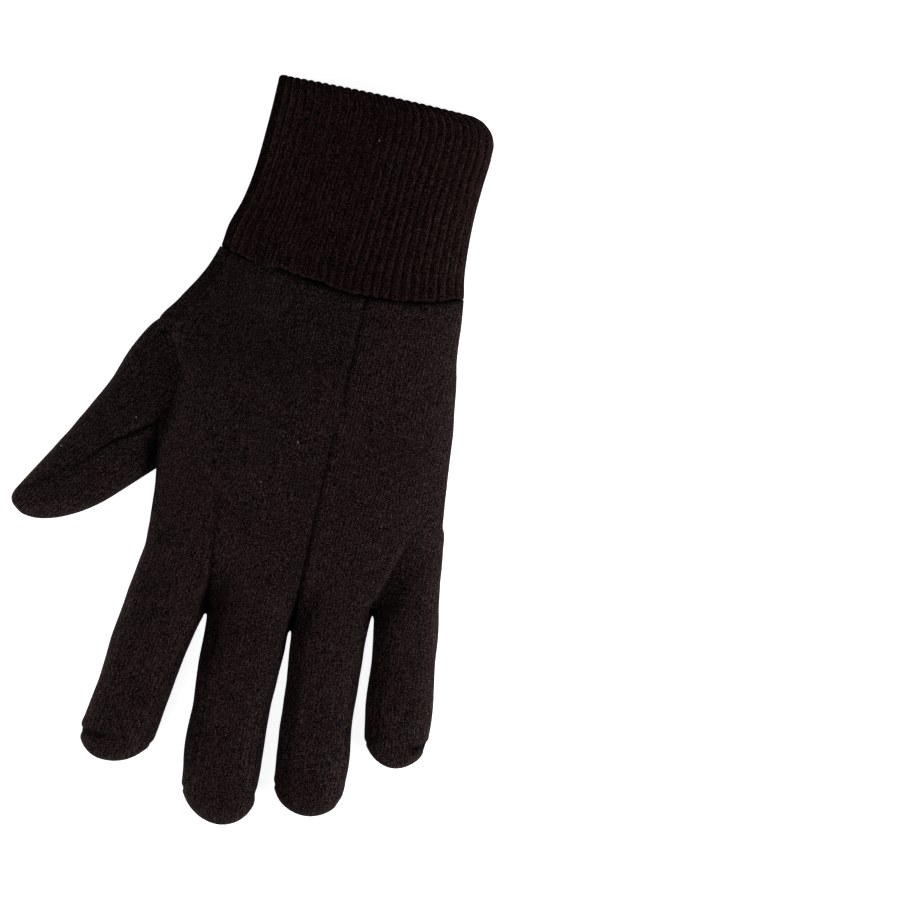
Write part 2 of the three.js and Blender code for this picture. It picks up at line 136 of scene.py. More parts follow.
# along, left, right, top
THUMB_ROWS = np.array([
    (0.00, -0.74, 0.50, 0.80),
    (0.10, -0.80, 0.52, 0.86),
    (0.23, -0.74, 0.55, 0.95),
    (0.39, -0.586, 0.565, 1.00),
    (0.51, -0.507, 0.535, 1.00),
    (0.635, -0.428, 0.495, 0.98),
    (0.745, -0.383, 0.438, 0.95),
    (0.86, -0.341, 0.317, 0.88),
    (0.92, -0.312, 0.215, 0.78),
    (0.96, -0.292, 0.120, 0.66),
    (0.985, -0.270, 0.035, 0.52),
    (1.00, -0.225, -0.050, 0.36),
])
print("tables:", len(HAND_ROWS), len(CUFF_ROWS), len(THUMB_ROWS))

# %% Tables of the fingers
# across, along, length in mm, lean in degrees, width, thick, where the tip starts, its shift
FINGER_SIZES = {
    "index": (-0.303, 0.781, 86.3, -7.2, 0.25, 1.0, 0.86, -0.10),
    "middle": (-0.056, 0.781, 98.8, 2.3, 0.269, 1.05, 0.87, 0.06),
    "ring": (0.217, 0.781, 89.4, 3.8, 0.25, 1.0, 0.87, 0.01),
    "little": (0.444, 0.717, 74.9, 6.9, 0.221, 0.94, 0.84, 0.01),
}
# along, left, right, top
FINGER_ROWS = {
    "index": [
        (-0.12, -0.52, 0.58, 0.90), (0.20, -0.51, 0.55, 0.97), (0.35, -0.510, 0.525, 1.00),
        (0.50, -0.510, 0.475, 1.00), (0.70, -0.480, 0.460, 0.97), (0.86, -0.492, 0.455, 0.95)],
    "middle": [
        (-0.12, -0.57, 0.60, 0.90), (0.28, -0.530, 0.500, 1.00), (0.45, -0.526, 0.458, 1.00),
        (0.60, -0.497, 0.429, 0.98), (0.72, -0.514, 0.448, 0.97), (0.87, -0.470, 0.440, 0.95)],
    "ring": [
        (-0.12, -0.61, 0.55, 0.90), (0.28, -0.525, 0.470, 1.00), (0.45, -0.490, 0.455, 1.00),
        (0.62, -0.478, 0.437, 0.98), (0.78, -0.472, 0.483, 0.97), (0.87, -0.452, 0.490, 0.95)],
    "little": [
        (-0.12, -0.56, 0.44, 0.90), (0.30, -0.485, 0.470, 1.00), (0.50, -0.464, 0.490, 1.00),
        (0.70, -0.480, 0.513, 0.97), (0.84, -0.452, 0.485, 0.95)],
}
SIZE_NAMES = ("across", "along", "length", "lean", "width", "thick", "tip_start", "tip_shift")
FINGERS = {
    name: dict(zip(SIZE_NAMES, sizes), rows=np.array(FINGER_ROWS[name]))
    for name, sizes in FINGER_SIZES.items()}
print("fingers:", list(FINGERS))

# %% [markdown]
# One section is a flattened tube: flat below where the cloth lies on the table, round at
# the side folds and full above. It is written as a formula of the turn round the tube, so
# that a whole ring is one call.

# %% A ring of a flattened tube
FOLD_HEIGHT = 0.42
FOLD_REACH = 1.15
HAND_SQUARENESS = 2.45
CUFF_SQUARENESS = 2.1
FINGER_SQUARENESS = 2.6


def ring(left, right, top, rise, squareness, turns):
    """Points (side, z) of one section, at turns from 0 at the middle of the underside."""
    middle = (left + right) / 2
    half = (right - left) / 2
    fold = rise + (top - rise) * FOLD_HEIGHT
    side = np.where(turns < 0.5, 1.0, -1.0)
    quarter = np.where(turns < 0.5, turns, 1 - turns) * 4
    reach = min((fold - rise) * FOLD_REACH, half * 0.8)
    flat = np.clip(quarter / 0.5, 0, 1) * (half - reach)
    low_angle = np.clip((quarter - 0.5) / 0.5, 0, 1) * math.pi / 2
    low_x = flat + reach * np.sin(low_angle)
    low_z = fold - (fold - rise) * np.cos(low_angle)
    angle = np.clip(quarter - 1, 0, 1) * math.pi / 2
    over = np.cos(angle).clip(0)
    up = np.sin(angle)
    out = (over ** squareness + up ** squareness) ** (-1 / squareness)
    x = np.where(quarter <= 1, low_x, half * over * out)
    z = np.where(quarter <= 1, low_z, fold + (top - fold) * up * out)
    return middle + side * x, z


print("side folds at", FOLD_HEIGHT, "of the height")

# %% A smooth curve through a table


def smooth_between(rows, at):
    """A smooth curve through each column of a table, read at new places of its first."""
    keys = rows[:, 0]
    values = rows[:, 1:]
    slopes = np.gradient(values, keys, axis=0)
    i = np.clip(np.searchsorted(keys, at) - 1, 0, len(keys) - 2)
    gap = keys[i + 1] - keys[i]
    t = np.clip((at - keys[i]) / gap, 0, 1)
    t, gap = t[:, None], gap[:, None]
    h00 = 2 * t ** 3 - 3 * t ** 2 + 1
    h10 = t ** 3 - 2 * t ** 2 + t
    h01 = 3 * t ** 2 - 2 * t ** 3
    h11 = t ** 3 - t ** 2
    return (h00 * values[i] + h10 * gap * slopes[i]
            + h01 * values[i + 1] + h11 * gap * slopes[i + 1])


print("between two rows:", smooth_between(HAND_ROWS, np.array([0.11])).round(3))

# %% [markdown]
# Each tube runs along a straight line on the table. The four fingers' lines spread a
# little, and the thumb's leans most.

# %% Lines that the tubes follow


class Axis:
    """A line on the table: its start, the way it runs and the way across it."""

    def __init__(self, x, y, lean):
        angle = math.radians(lean)
        self.start = np.array([x, y])
        self.ahead = np.array([math.sin(angle), -math.cos(angle)])
        self.across = np.array([math.cos(angle), math.sin(angle)])

    def place(self, along, side):
        along, side = np.broadcast_arrays(np.asarray(along, float), np.asarray(side, float))
        return (self.start + along[..., None] * self.ahead + side[..., None] * self.across)

    def read(self, points):
        rel = points[:, :2] - self.start
        return rel @ self.ahead, rel @ self.across


HAND_AXIS = Axis(0, 0, 0)
THUMB_AXIS = Axis(-0.343 * HAND_WIDTH, -0.298 * HAND_LENGTH, -THUMB_LEAN)
for finger in FINGERS.values():
    finger["axis"] = Axis(
        finger["across"] * HAND_WIDTH, -finger["along"] * HAND_LENGTH, finger["lean"])
print("finger roots:", [f["axis"].start.round(1).tolist() for f in FINGERS.values()])

# %% [markdown]
# Each tube is lofted through its sections and closed at both ends. The fingertips are
# rounded by a formula: width, thickness and underside all follow a quarter turn.

# %% Loft a tube
RING_POINTS = 96


def loft(axis, alongs, sections, squareness):
    """Vertices and triangles of a closed tube through sections (left, right, top, rise)."""
    turns = np.arange(RING_POINTS) / RING_POINTS
    points = []
    for along, (left, right, top, rise) in zip(alongs, sections):
        side, z = ring(left, right, top, rise, squareness, turns)
        points.append(np.column_stack([axis.place(along, side), z]))
    points.append([points[0].mean(axis=0)])
    points.append([points[-2].mean(axis=0)])
    rows, n = len(alongs), RING_POINTS
    k = np.arange(n)
    faces = []
    for row in range(rows - 1):
        a, b = row * n + k, row * n + (k + 1) % n
        faces.append(np.column_stack([a, b, b + n]))
        faces.append(np.column_stack([a, b + n, a + n]))
    first, last = rows * n, rows * n + 1
    faces.append(np.column_stack([np.full(n, first), (k + 1) % n, k]))
    end = (rows - 1) * n
    faces.append(np.column_stack([np.full(n, last), end + k, end + (k + 1) % n]))
    return np.vstack(points), np.vstack(faces)


print("corners in a ring:", RING_POINTS)

# %% Sections of the hand, the fingers and the thumb
TIP_THICKNESS = 0.22
TIP_RISE = 2.6


def hand_tube():
    at = np.linspace(HAND_ROWS[0, 0], HAND_ROWS[-1, 0], 70)
    table = smooth_between(HAND_ROWS, at)
    scale = np.array([HAND_WIDTH, HAND_WIDTH, HAND_THICKNESS, HAND_THICKNESS])
    return loft(HAND_AXIS, at * HAND_LENGTH, table * scale, HAND_SQUARENESS)


def finger_sections(finger):
    """The rows of a finger's table, then its rounded tip."""
    width = finger["width"] * HAND_WIDTH
    thick = finger["thick"] * FINGER_THICKNESS
    at = np.linspace(finger["rows"][0, 0], finger["tip_start"], 50)
    table = smooth_between(finger["rows"], at)
    table = np.column_stack([table[:, 0] * width, table[:, 1] * width, table[:, 2] * thick])
    table = np.column_stack([table, np.zeros(len(at))])
    angle = np.radians(np.linspace(3, 89, 26))
    left, right, top, _ = table[-1]
    middle = (left + right) / 2 + finger["tip_shift"] * width * np.sin(angle)
    half = (right - left) / 2 * np.cos(angle)
    tip_top = top * (TIP_THICKNESS + (1 - TIP_THICKNESS) * np.cos(angle) ** 0.7)
    rise = TIP_RISE * (1 - np.cos(angle)) ** 2
    tip = np.column_stack([middle - half, middle + half, tip_top + rise, rise])
    tip_along = finger["tip_start"] + (1 - finger["tip_start"]) * np.sin(angle)
    alongs = np.concatenate([at, tip_along]) * finger["length"]
    return alongs, np.vstack([table, tip])


def thumb_tube():
    at = np.linspace(0, 1, 90)
    table = smooth_between(THUMB_ROWS, at)
    table = table * np.array([THUMB_WIDTH, THUMB_WIDTH, THUMB_THICKNESS])
    rise = 2.0 * np.clip((at - 0.9) / 0.1, 0, 1) ** 2
    table = np.column_stack([table[:, :2], table[:, 2] + rise, rise])
    return loft(THUMB_AXIS, at * THUMB_LENGTH, table, FINGER_SQUARENESS)


tubes = [hand_tube()]
for finger in FINGERS.values():
    tubes.append(loft(finger["axis"], *finger_sections(finger), FINGER_SQUARENESS))
thumb = thumb_tube()
print("tubes:", len(tubes) + 1, "corners:", sum(len(t[0]) for t in tubes))

# %% [markdown]
# Voxel remeshing melts the hand and the four fingers into one skin with even, fine
# quads. It leaves a slight stair pattern, so the skin is relaxed a little all over, and
# more where the fingers leave the hand.

# %% Small tools for skins


def new_object(name, data):
    """An object in the scene with the given mesh, light or camera."""
    obj = bpy.data.objects.new(name, data)
    bpy.context.scene.collection.objects.link(obj)
    return obj


def edges_of(faces):
    """The three edges of every triangle."""
    return np.vstack([faces[:, [0, 1]], faces[:, [1, 2]], faces[:, [2, 0]]])


def on_floor(points):
    """The same points, none of them under the floor."""
    return np.column_stack([points[:, :2], np.maximum(points[:, 2], 0)])


def bell(distance, width):
    """1 at distance 0, fading softly to 0 over a few widths."""
    return np.exp(-(distance / width) ** 2)


print("a bell falls to", bell(2.0, 1.0).round(3), "at two widths")

# %% Melt the tubes into one skin
VOXEL = 0.75


def melt(parts, name):
    """One remeshed skin from closed tubes, as arrays of points and triangles."""
    offset = 0
    points, faces = [], []
    for p, f in parts:
        points.append(p)
        faces.append(f + offset)
        offset += len(p)
    mesh = bpy.data.meshes.new(name)
    mesh.from_pydata(np.vstack(points).tolist(), [], np.vstack(faces).tolist())
    obj = new_object(name, mesh)
    remesh = obj.modifiers.new("melt", "REMESH")
    remesh.mode = "VOXEL"
    remesh.voxel_size = VOXEL
    done = obj.evaluated_get(bpy.context.evaluated_depsgraph_get()).to_mesh()
    done.calc_loop_triangles()
    out = np.empty(len(done.vertices) * 3)
    done.vertices.foreach_get("co", out)
    tris = np.empty(len(done.loop_triangles) * 3, dtype=np.int64)
    done.loop_triangles.foreach_get("vertices", tris)
    bpy.data.objects.remove(obj)
    bpy.data.meshes.remove(mesh)
    return out.reshape(-1, 3), tris.reshape(-1, 3)


def relax(points, faces, times, weight):
    """Moves each corner towards the mean of its neighbours, times over."""
    edges = np.unique(np.sort(edges_of(faces), axis=1), axis=0)
    a = np.concatenate([edges[:, 0], edges[:, 1]])
    b = np.concatenate([edges[:, 1], edges[:, 0]])
    count = np.bincount(a, minlength=len(points))
    weight = np.broadcast_to(weight, len(points))
    points = points.copy()
    for _ in range(times):
        for axis in range(3):
            mean = np.bincount(a, weights=points[b, axis], minlength=len(points)) / count
            points[:, axis] += weight * (mean - points[:, axis])
    return points


CROTCHES = {
    "index_middle": (-19.9, -125.7),
    "middle_ring": (10.4, -126.0),
    "ring_little": (36.6, -113.2),
}
skin, skin_faces = melt(tubes, "hand_skin")
skin = relax(skin, skin_faces, 4, 0.5)
crotch_x, crotch_y = np.array(list(CROTCHES.values())).T
above = skin[:, 1] - np.interp(skin[:, 0], crotch_x, crotch_y)
near_roots = np.clip((above - 2) / 6, 0, 1) * bell(above - 10, 14)
skin = on_floor(relax(skin, skin_faces, 40, 0.5 * near_roots))
thumb_skin, thumb_faces = melt([thumb], "thumb_skin")
thumb_skin = relax(thumb_skin, thumb_faces, 6, 0.5)
print("hand skin:", len(skin_faces), "thumb skin:", len(thumb_faces))

# %% [markdown]
# Melting rounds the bottom of each crotch, where the real one is a narrow V held by the
# seam. The corners near it are moved: up or down to the height of the real crotch, and
# inwards from both sides.

# %% Set the crotches
# place of the melted crotch, how far it moves up, how far its sides close
CROTCH_SHAPES = [
    ((-20.4, -124.3), -1.2, 0.0),
    ((9.9, -126.8), 1.9, 0.5),
    ((36.3, -114.2), 1.4, 0.3),
]


def sharpen(points, where, lift, close):
    """Moves the bottom of a crotch and closes its sides to a narrow V."""
    x, y = points[:, 0] - where[0], points[:, 1] - where[1]
    up = lift * bell(x, 2) * bell(y, 4)
    inwards = close * np.tanh(x) * bell(x, 6) * bell(y + 6, 9)
    return points + np.column_stack([-inwards, up, np.zeros(len(points))])


for where, lift, close in CROTCH_SHAPES:
    skin = sharpen(skin, where, lift, close)
print("crotches set:", len(CROTCH_SHAPES))

# %% [markdown]
# The seams are lines seen from above. Each is a function that gives x for any y, so the
# distance to a seam is simply the difference in x.

# %% Lines of the seams
SIDE_SEAM = 5.6
THUMB_SIDE_SEAM = 3.4
WRIST_GAP = 0.1
THUMB_GAP = 0.15
# across, along
WRIST_SEAM = np.array([
    (-50.0, 3.0), (-43.0, 1.0), (-35.0, -1.2), (-28.0, -2.5), (-17.0, -2.9), (-5.5, -4.3),
    (6.0, -5.7), (17.0, -5.0), (28.0, -3.8), (36.0, -1.6), (43.9, 0.8), (52.0, 3.2)])


def wrist_line(x):
    """y of the wrist seam, bowed towards the fingers in the middle and a little uneven."""
    return smooth_between(WRIST_SEAM, x)[:, 0]


def line(pairs):
    """A seam as x for any y, from (x, y) pairs that run down the glove."""
    pairs = np.array(pairs, float)
    return lambda y: np.interp(-y, -pairs[:, 1], pairs[:, 0])


SEAM_INDEX_MIDDLE = line([
    (-26.0, 10), (-25.4, -43), (-24.8, -54), (-22.6, -100), (-21.2, -114), (-19.9, -125.7),
    (-20.6, -150), (-21, -200)])
SEAM_MIDDLE_RING = line([
    (10.8, 10), (11.1, -15), (11.0, -35), (10.4, -60), (10.4, -90), (10.2, -115), (10.4, -126.5),
    (11.5, -150), (13.5, -200)])
print("between the seams at the wrist, mm:", SEAM_MIDDLE_RING(0) - SEAM_INDEX_MIDDLE(0))

# %% [markdown]
# A strip between two fingers lies between two such lines. They start together above the
# crotch, follow the edges of both fingers and run out at the tips.

# %% Borders of the strips


def finger_edge(name, side, s):
    finger = FINGERS[name]
    column = 0 if side == "left" else 1
    table = smooth_between(finger["rows"], np.atleast_1d(float(s)))[0]
    return finger["axis"].place(
        s * finger["length"], table[column] * finger["width"] * HAND_WIDTH)


def strip_lines(left, right, crotch, apex, shows):
    """The two borders of the strip between two fingers, and where it starts."""
    borders = []
    for name, side, onto, shown in (
            (left, "right", -1, shows[0]), (right, "left", 1, shows[1])):
        points = [apex, (crotch[0] + onto * shown, crotch[1])]
        for s in (0.45, 0.60, 0.75, 0.84):
            x, y = finger_edge(name, side, s)
            if y < crotch[1] - 3:
                points.append((x + onto * shown, y))
        x, y = finger_edge(name, side, 0.95)
        points += [(x - 3 * onto, y), (x - 6 * onto, y - 30)]
        borders.append(line(points))
    return *borders, apex[1]


# left finger, right finger, where the strip starts, how much of it shows on each finger
STRIP_ROWS = [
    ("index", "middle", (-21.2, -114.0), (1.8, 4.6)),
    ("middle", "ring", (10.8, -117.0), (1.4, 4.2)),
    ("ring", "little", (39.2, -100.0), (1.6, 4.2)),
]
STRIPS = {}
for left, right, apex, shows in STRIP_ROWS:
    name = left + "_" + right
    STRIPS[name] = strip_lines(left, right, CROTCHES[name], apex, shows)
print("strips:", list(STRIPS))

# %% [markdown]
# Creases and dents are pressed into the skin before it is cut, along its normals. A
# crease is a narrow valley along a seam with the cloth swelling softly beside it, as
# cloth does that is held by a thread. Its depth grows towards the crotches, where the
# thread pulls most. Dents are soft round hollows.

# %% Helpers that press the skin


def normals_of(points, faces):
    """The mean normal at each corner."""
    a, b, c = (points[faces[:, i]] for i in range(3))
    face_normal = np.cross(b - a, c - a)
    out = np.zeros_like(points)
    for i in range(3):
        for axis in range(3):
            out[:, axis] += np.bincount(
                faces[:, i], weights=face_normal[:, axis], minlength=len(points))
    return out / np.linalg.norm(out, axis=1, keepdims=True).clip(1e-12)


def ramp(value, start, stop):
    """0 before start, 1 after stop, smooth between."""
    t = np.clip((value - start) / (stop - start), 0, 1)
    return t * t * (3 - 2 * t)


def crease(distance, depth, width, swell=0.25):
    """How far in the cloth goes beside a seam: a narrow valley with swollen banks."""
    valley = np.exp(-np.abs(distance / width) ** 1.3)
    bank = bell(np.abs(distance) - 2.6 * width, 1.8 * width)
    return depth * (valley - swell * bank)


def dent(points, x, y, size_x, size_y, turn=0.0):
    """A soft hollow seen from above, 1 in its middle."""
    angle = math.radians(turn)
    dx, dy = points[:, 0] - x, points[:, 1] - y
    u = dx * math.cos(angle) + dy * math.sin(angle)
    v = -dx * math.sin(angle) + dy * math.cos(angle)
    return bell(u, size_x) * bell(v, size_y)


def waves(points, length, seed):
    """Soft unevenness: a few crossing waves of about one length, from -1 to 1."""
    random = np.random.default_rng(seed)
    total = np.zeros(len(points))
    for _ in range(14):
        direction = random.normal(size=3)
        direction /= np.linalg.norm(direction)
        size = length * random.uniform(0.7, 1.6)
        phase = random.uniform(0, 2 * math.pi)
        total += np.sin(points @ direction * (2 * math.pi / size) + phase)
    return total / 14 * 1.6


print("helpers ready")

# %% [markdown]
# Limp cloth doesn't keep one height. On the thumb's side of the wrist it has sunk towards
# the table, so the top of the glove slopes down there and turns away from the light. The
# hand, the thumb and the wrist all read this one function, so they stay level.

# %% How far the thumb's side has sunk
SUNK_AT_SEAM = 2.7
MORE_AT_MOUTH = 0.8


def sunk(points):
    """How far the cloth has sunk on the thumb's side of the wrist, in mm."""
    x, y = points[:, 0], points[:, 1]
    most = SUNK_AT_SEAM + MORE_AT_MOUTH * ramp(y, -6, 40)
    return most * ramp(-x, -10, 42) * (1 - ramp(-y, 28, 62))


print("sunk at the left of the wrist seam, mm:", sunk(np.array([(-42.0, 0.0)])).round(2))

# %% [markdown]
# On the back of the hand the seam between middle and ring finger is plain to see and
# deepens into the crotch. The one between index and middle finger is faint and ends in
# a soft dark dent. Both fade out at the crotch.

# %% Press the seams on the back of the hand
x, y, z = skin.T
normal = normals_of(skin, skin_faces)
on_top = ramp(normal[:, 2], 0.05, 0.6) * ramp(z, 6.5, 9)
on_side = 1 - ramp(np.abs(normal[:, 2]), 0.45, 0.9)
press = np.zeros(len(skin))

# crotch, seam, depth, how much deeper at the crotch, where the pull starts, power, width
TOP_SEAMS = [
    ("middle_ring", SEAM_MIDDLE_RING, 0.38, 1.0, 60, 2, 0.75),
    ("index_middle", SEAM_INDEX_MIDDLE, 0.22, 1.2, 85, 1, 0.9),
]
for crotch, seam, depth, deeper, start, power, width in TOP_SEAMS:
    bottom = CROTCHES[crotch][1]
    above_crotch = ramp(y, bottom - 3, bottom + 2)
    pull = ramp(-y, start, 124) ** power
    press += on_top * above_crotch * crease(x - seam(y), depth + deeper * pull, width)
print("seam depth in mm:", round(float(press.max()), 2))

# %% [markdown]
# Dents come next: three beside the two crotches, where the strips pull the cloth down,
# and a wide soft one on the thumb's side below the wrist, over the empty hollow.

# %% Press the dents
# depth, x, y, size across, size along, turn
HAND_DENTS = [
    (2.6, -18.4, -120.5, 3.6, 7.0, -4),
    (1.7, -16.0, -131.0, 3.8, 11.0, -2),
    (0.8, 13.4, -120.0, 3.2, 8.0, -4),
    (3.2, -34.0, -23.0, 18.0, 22.0, -8),
]
for depth, *place in HAND_DENTS:
    press += on_top * depth * dent(skin, *place)
press += on_top * sunk(skin)
print("dents:", len(HAND_DENTS))

# %% [markdown]
# Between ring and little finger no seam shows, only a fold that runs up from the crotch.
# It is sharp on the hand's side and soft on the finger's, so its two sides get different
# widths.

# %% Press the fold at the little finger's root
LITTLE_ROOT = ((44.5, -84.0), (37.2, -111.5))
LITTLE_ROOT_DEPTH = 3.0
HAND_SIDE_WIDTH = 1.3
FINGER_SIDE_WIDTH = 5.0


def beside(points, start, end):
    """Distance to a short line seen from above, and how far along it, from 0 to 1."""
    start, end = np.array(start), np.array(end)
    along = end - start
    length = np.linalg.norm(along)
    along = along / length
    rel = points[:, :2] - start
    return rel @ np.array([-along[1], along[0]]), rel @ along / length


across, share = beside(skin, *LITTLE_ROOT)
fold = bell(across, np.where(across < 0, HAND_SIDE_WIDTH, FINGER_SIDE_WIDTH))
fold = fold * ramp(share, -0.2, 0.7) * (1 - ramp(share, 1.0, 1.25))
press += on_top * LITTLE_ROOT_DEPTH * fold
print("corners in the fold:", int((fold > 0.5).sum()))

# %% [markdown]
# The seams of the strips run down both sides of each gap, and one seam runs all round
# the side of the hand, between palm and back. At the wrist the cloth is gathered under
# the hem of the rib knit.

# %% Press the strips, the side seam and the wrist
STRIP_CREASE = dict(depth=0.42, width=0.6)
SIDE_CREASE = dict(depth=0.5, width=0.6, swell=0.15)
WRIST_PRESS = 1.6
over_seam = ramp(z, SIDE_SEAM - 1, SIDE_SEAM + 1)
for left_line, right_line, apex_y in STRIPS.values():
    below = ramp(-y, -apex_y, -apex_y + 6)
    for border in (left_line, right_line):
        press += over_seam * below * crease(x - border(y), **STRIP_CREASE)
press += crease(z - SIDE_SEAM, **SIDE_CREASE) * on_side
held = (0.4 + 0.6 * ramp(x, -34, -10)) * ramp(z, 7, 13)
press += WRIST_PRESS * held * np.exp(-((wrist_line(x) - y).clip(0) / 1.2) ** 1.5)
print("deepest press in mm:", round(float(press.max()), 2))

# %% [markdown]
# The tips of the index and the little finger have a short dark fold that starts at the
# finger's outer edge, where the side seam turns round the tip and pulls the cloth in.

# %% Press the folds at two fingertips
INDEX_FOLD = ((-54.5, -174.8), (-35.5, -174.4))
LITTLE_FOLD = ((65.2, -154.3), (57.0, -157.3))
# line, depth, width in mm, where along the line it starts and ends to fade
TIP_FOLDS = [
    (INDEX_FOLD, 1.1, 1.0, 0.1, 1.0),
    (LITTLE_FOLD, 1.7, 1.2, 0.4, 1.1),
]
near_top = ramp(z, 3.5, 6.5)
for ends, depth, width, fade, faded in TIP_FOLDS:
    across, share = beside(skin, *ends)
    shown = ramp(share, -0.1, 0.0) * (1 - ramp(share, fade, faded))
    press += near_top * crease(across, depth, width, 0.1) * shown
press += near_top * 0.5 * dent(skin, -51.8, -174.9, 3.0, 1.4)
print("folds:", len(TIP_FOLDS))

# %% [markdown]
# Last, a soft unevenness all over in two sizes, and a little fullness that pushes the
# skin outwards again, except in the crotches. Then the corners are moved.

# %% Move the corners of the hand
FULLNESS = 0.45
LONG_WAVES = 0.45
SHORT_WAVES = 0.12
press += LONG_WAVES * waves(skin, 34, 3) * ramp(z, 2, 8)
press += SHORT_WAVES * waves(skin, 9, 5) * ramp(z, 1, 6)
in_crotch = bell(above, 14) * (np.abs(skin[:, 0] - 8) < 38)
press -= FULLNESS * (1 - in_crotch)
skin = on_floor(skin - normal * press[:, None])
print("hand height in mm:", round(float(skin[:, 2].max()), 1))

# %% [markdown]
# The edge of the hand slopes down to the thumb where the thumb grows out of it.

# %% Slope the hand down to the thumb
HAND_EDGE = line([
    (-58.7, -29.5), (-53.3, -43.6), (-50.5, -61), (-47.6, -74), (-46.5, -80), (-46, -90)])


def by_thumb(points):
    """1 where thumb and hand are level, 0 towards the thumb's crotch and the wrist."""
    return ramp(points[:, 1], -78, -46) * (1 - ramp(points[:, 1], -20, -6))


inside = (skin[:, 0] - HAND_EDGE(skin[:, 1])).clip(0)
slope = 0.45 * bell(inside, 9) * by_thumb(skin)
skin[:, 2] -= slope * (skin[:, 2] - 7).clip(0)
print("corners on the slope:", int((slope > 0.1).sum()))

# %% [markdown]
# The thumb is sewn to the side of the palm, so it comes out from under the edge of the
# hand. Its top is lowered there, and one seam runs along its middle to the tip.

# %% Press the thumb
THUMB_SEAM = np.array([
    (-0.10, 0.20), (0.33, 0.155), (0.40, 0.115), (0.48, 0.04), (0.56, -0.02),
    (0.66, -0.03), (0.91, -0.21), (1.05, -0.60)])
THUMB_CREASE = dict(depth=1.2, width=1.0)
THUMB_SIDE_CREASE = dict(depth=0.4, width=0.6, swell=0.15)
THUMB_FULLNESS = 0.75


def thumb_side(points):
    """Signed distance to the thumb's seam, in mm, plus towards the index finger."""
    along, side = THUMB_AXIS.read(points)
    seam = np.interp(along / THUMB_LENGTH, THUMB_SEAM[:, 0], THUMB_SEAM[:, 1])
    return side - seam * THUMB_WIDTH


thumb_normal = normals_of(thumb_skin, thumb_faces)
top_of_thumb = ramp(thumb_normal[:, 2], 0.0, 0.6)
along, _ = THUMB_AXIS.read(thumb_skin)
pull = 1 - 0.55 * ramp(along, 34, 62)
press = top_of_thumb * pull * crease(thumb_side(thumb_skin), **THUMB_CREASE)
side_of_thumb = 1 - ramp(np.abs(thumb_normal[:, 2]), 0.45, 0.9)
press += crease(thumb_skin[:, 2] - THUMB_SIDE_SEAM, **THUMB_SIDE_CREASE) * side_of_thumb
uneven = 0.30 * waves(thumb_skin, 26, 7) + 0.10 * waves(thumb_skin, 8, 8)
press += uneven * ramp(thumb_skin[:, 2], 1, 6)
press += top_of_thumb * 1.8 * dent(thumb_skin, -52.0, -72.5, 6.0, 7.0)
press -= THUMB_FULLNESS
thumb_skin = thumb_skin - thumb_normal * press[:, None]
thumb_skin[:, 2] -= 0.5 * sunk(thumb_skin) * ramp(thumb_skin[:, 2], 4, 9)
from_hand = HAND_EDGE(thumb_skin[:, 1]) - thumb_skin[:, 0]
beside_hand = 0.50 + 0.48 * by_thumb(thumb_skin)
thumb_skin[:, 2] *= beside_hand + (1 - beside_hand) * ramp(from_hand, -3, 10)
thumb_skin = on_floor(thumb_skin)
print("thumb height in mm:", round(float(thumb_skin[:, 2].max()), 1))

# %% [markdown]
# To cut a skin along a seam, every triangle that the line crosses is split on it, so the
# border of a piece is clean and has its corners exactly on the seam. The pieces are then
# picked by the sign of the distance.

# %% Cut a skin along a line


def split(points, faces, field):
    """Splits the triangles where field changes sign. Returns points, faces and field."""
    field = np.where(np.abs(field) < 1e-6, 1e-6, field)
    positive = field[faces] > 0
    count = positive.sum(axis=1)
    mixed = (count == 1) | (count == 2)
    whole = faces[~mixed]
    crossed = faces[mixed]
    lone = np.where(count[mixed] == 1, positive[mixed].argmax(axis=1),
                    (~positive[mixed]).argmax(axis=1))
    rows = np.arange(len(crossed))
    a, b, c = (crossed[rows, (lone + i) % 3] for i in range(3))
    pairs = np.vstack([np.column_stack([a, b]), np.column_stack([a, c])])
    keys, where = np.unique(np.sort(pairs, axis=1), axis=0, return_inverse=True)
    where = where.reshape(-1)
    start, stop = keys[:, 0], keys[:, 1]
    t = field[start] / (field[start] - field[stop])
    fresh = points[start] + t[:, None] * (points[stop] - points[start])
    ab = len(points) + where[:len(crossed)]
    ac = len(points) + where[len(crossed):]
    faces = np.vstack([
        whole,
        np.column_stack([a, ab, ac]),
        np.column_stack([ab, b, c]),
        np.column_stack([ab, c, ac]),
    ])
    return np.vstack([points, fresh]), faces, np.concatenate([field, np.zeros(len(fresh))])


def cut(points, faces, field):
    """The two parts of a skin: where field is negative, and where it is positive."""
    points, faces, field = split(points, faces, field(points))
    total = field[faces].sum(axis=1)
    parts = []
    for inside in (total < 0, total > 0):
        used, kept = np.unique(faces[inside], return_inverse=True)
        parts.append((points[used], kept.reshape(-1, 3)))
    return parts


print("ready to cut")

# %% [markdown]
# The hand ends at the wrist seam. The side seam parts the palm from the back. The strips
# are cut out of the back, and two seams divide what is left into three panels.

# %% Cut the hand into its pieces


def strip_field(name):
    left_line, right_line, apex_y = STRIPS[name]
    return lambda p: np.minimum(
        np.minimum(p[:, 0] - left_line(p[:, 1]), right_line(p[:, 1]) - p[:, 0]),
        apex_y - p[:, 1])


def right_of(seam):
    """Distance to the right of a seam."""
    return lambda p: p[:, 0] - seam(p[:, 1])


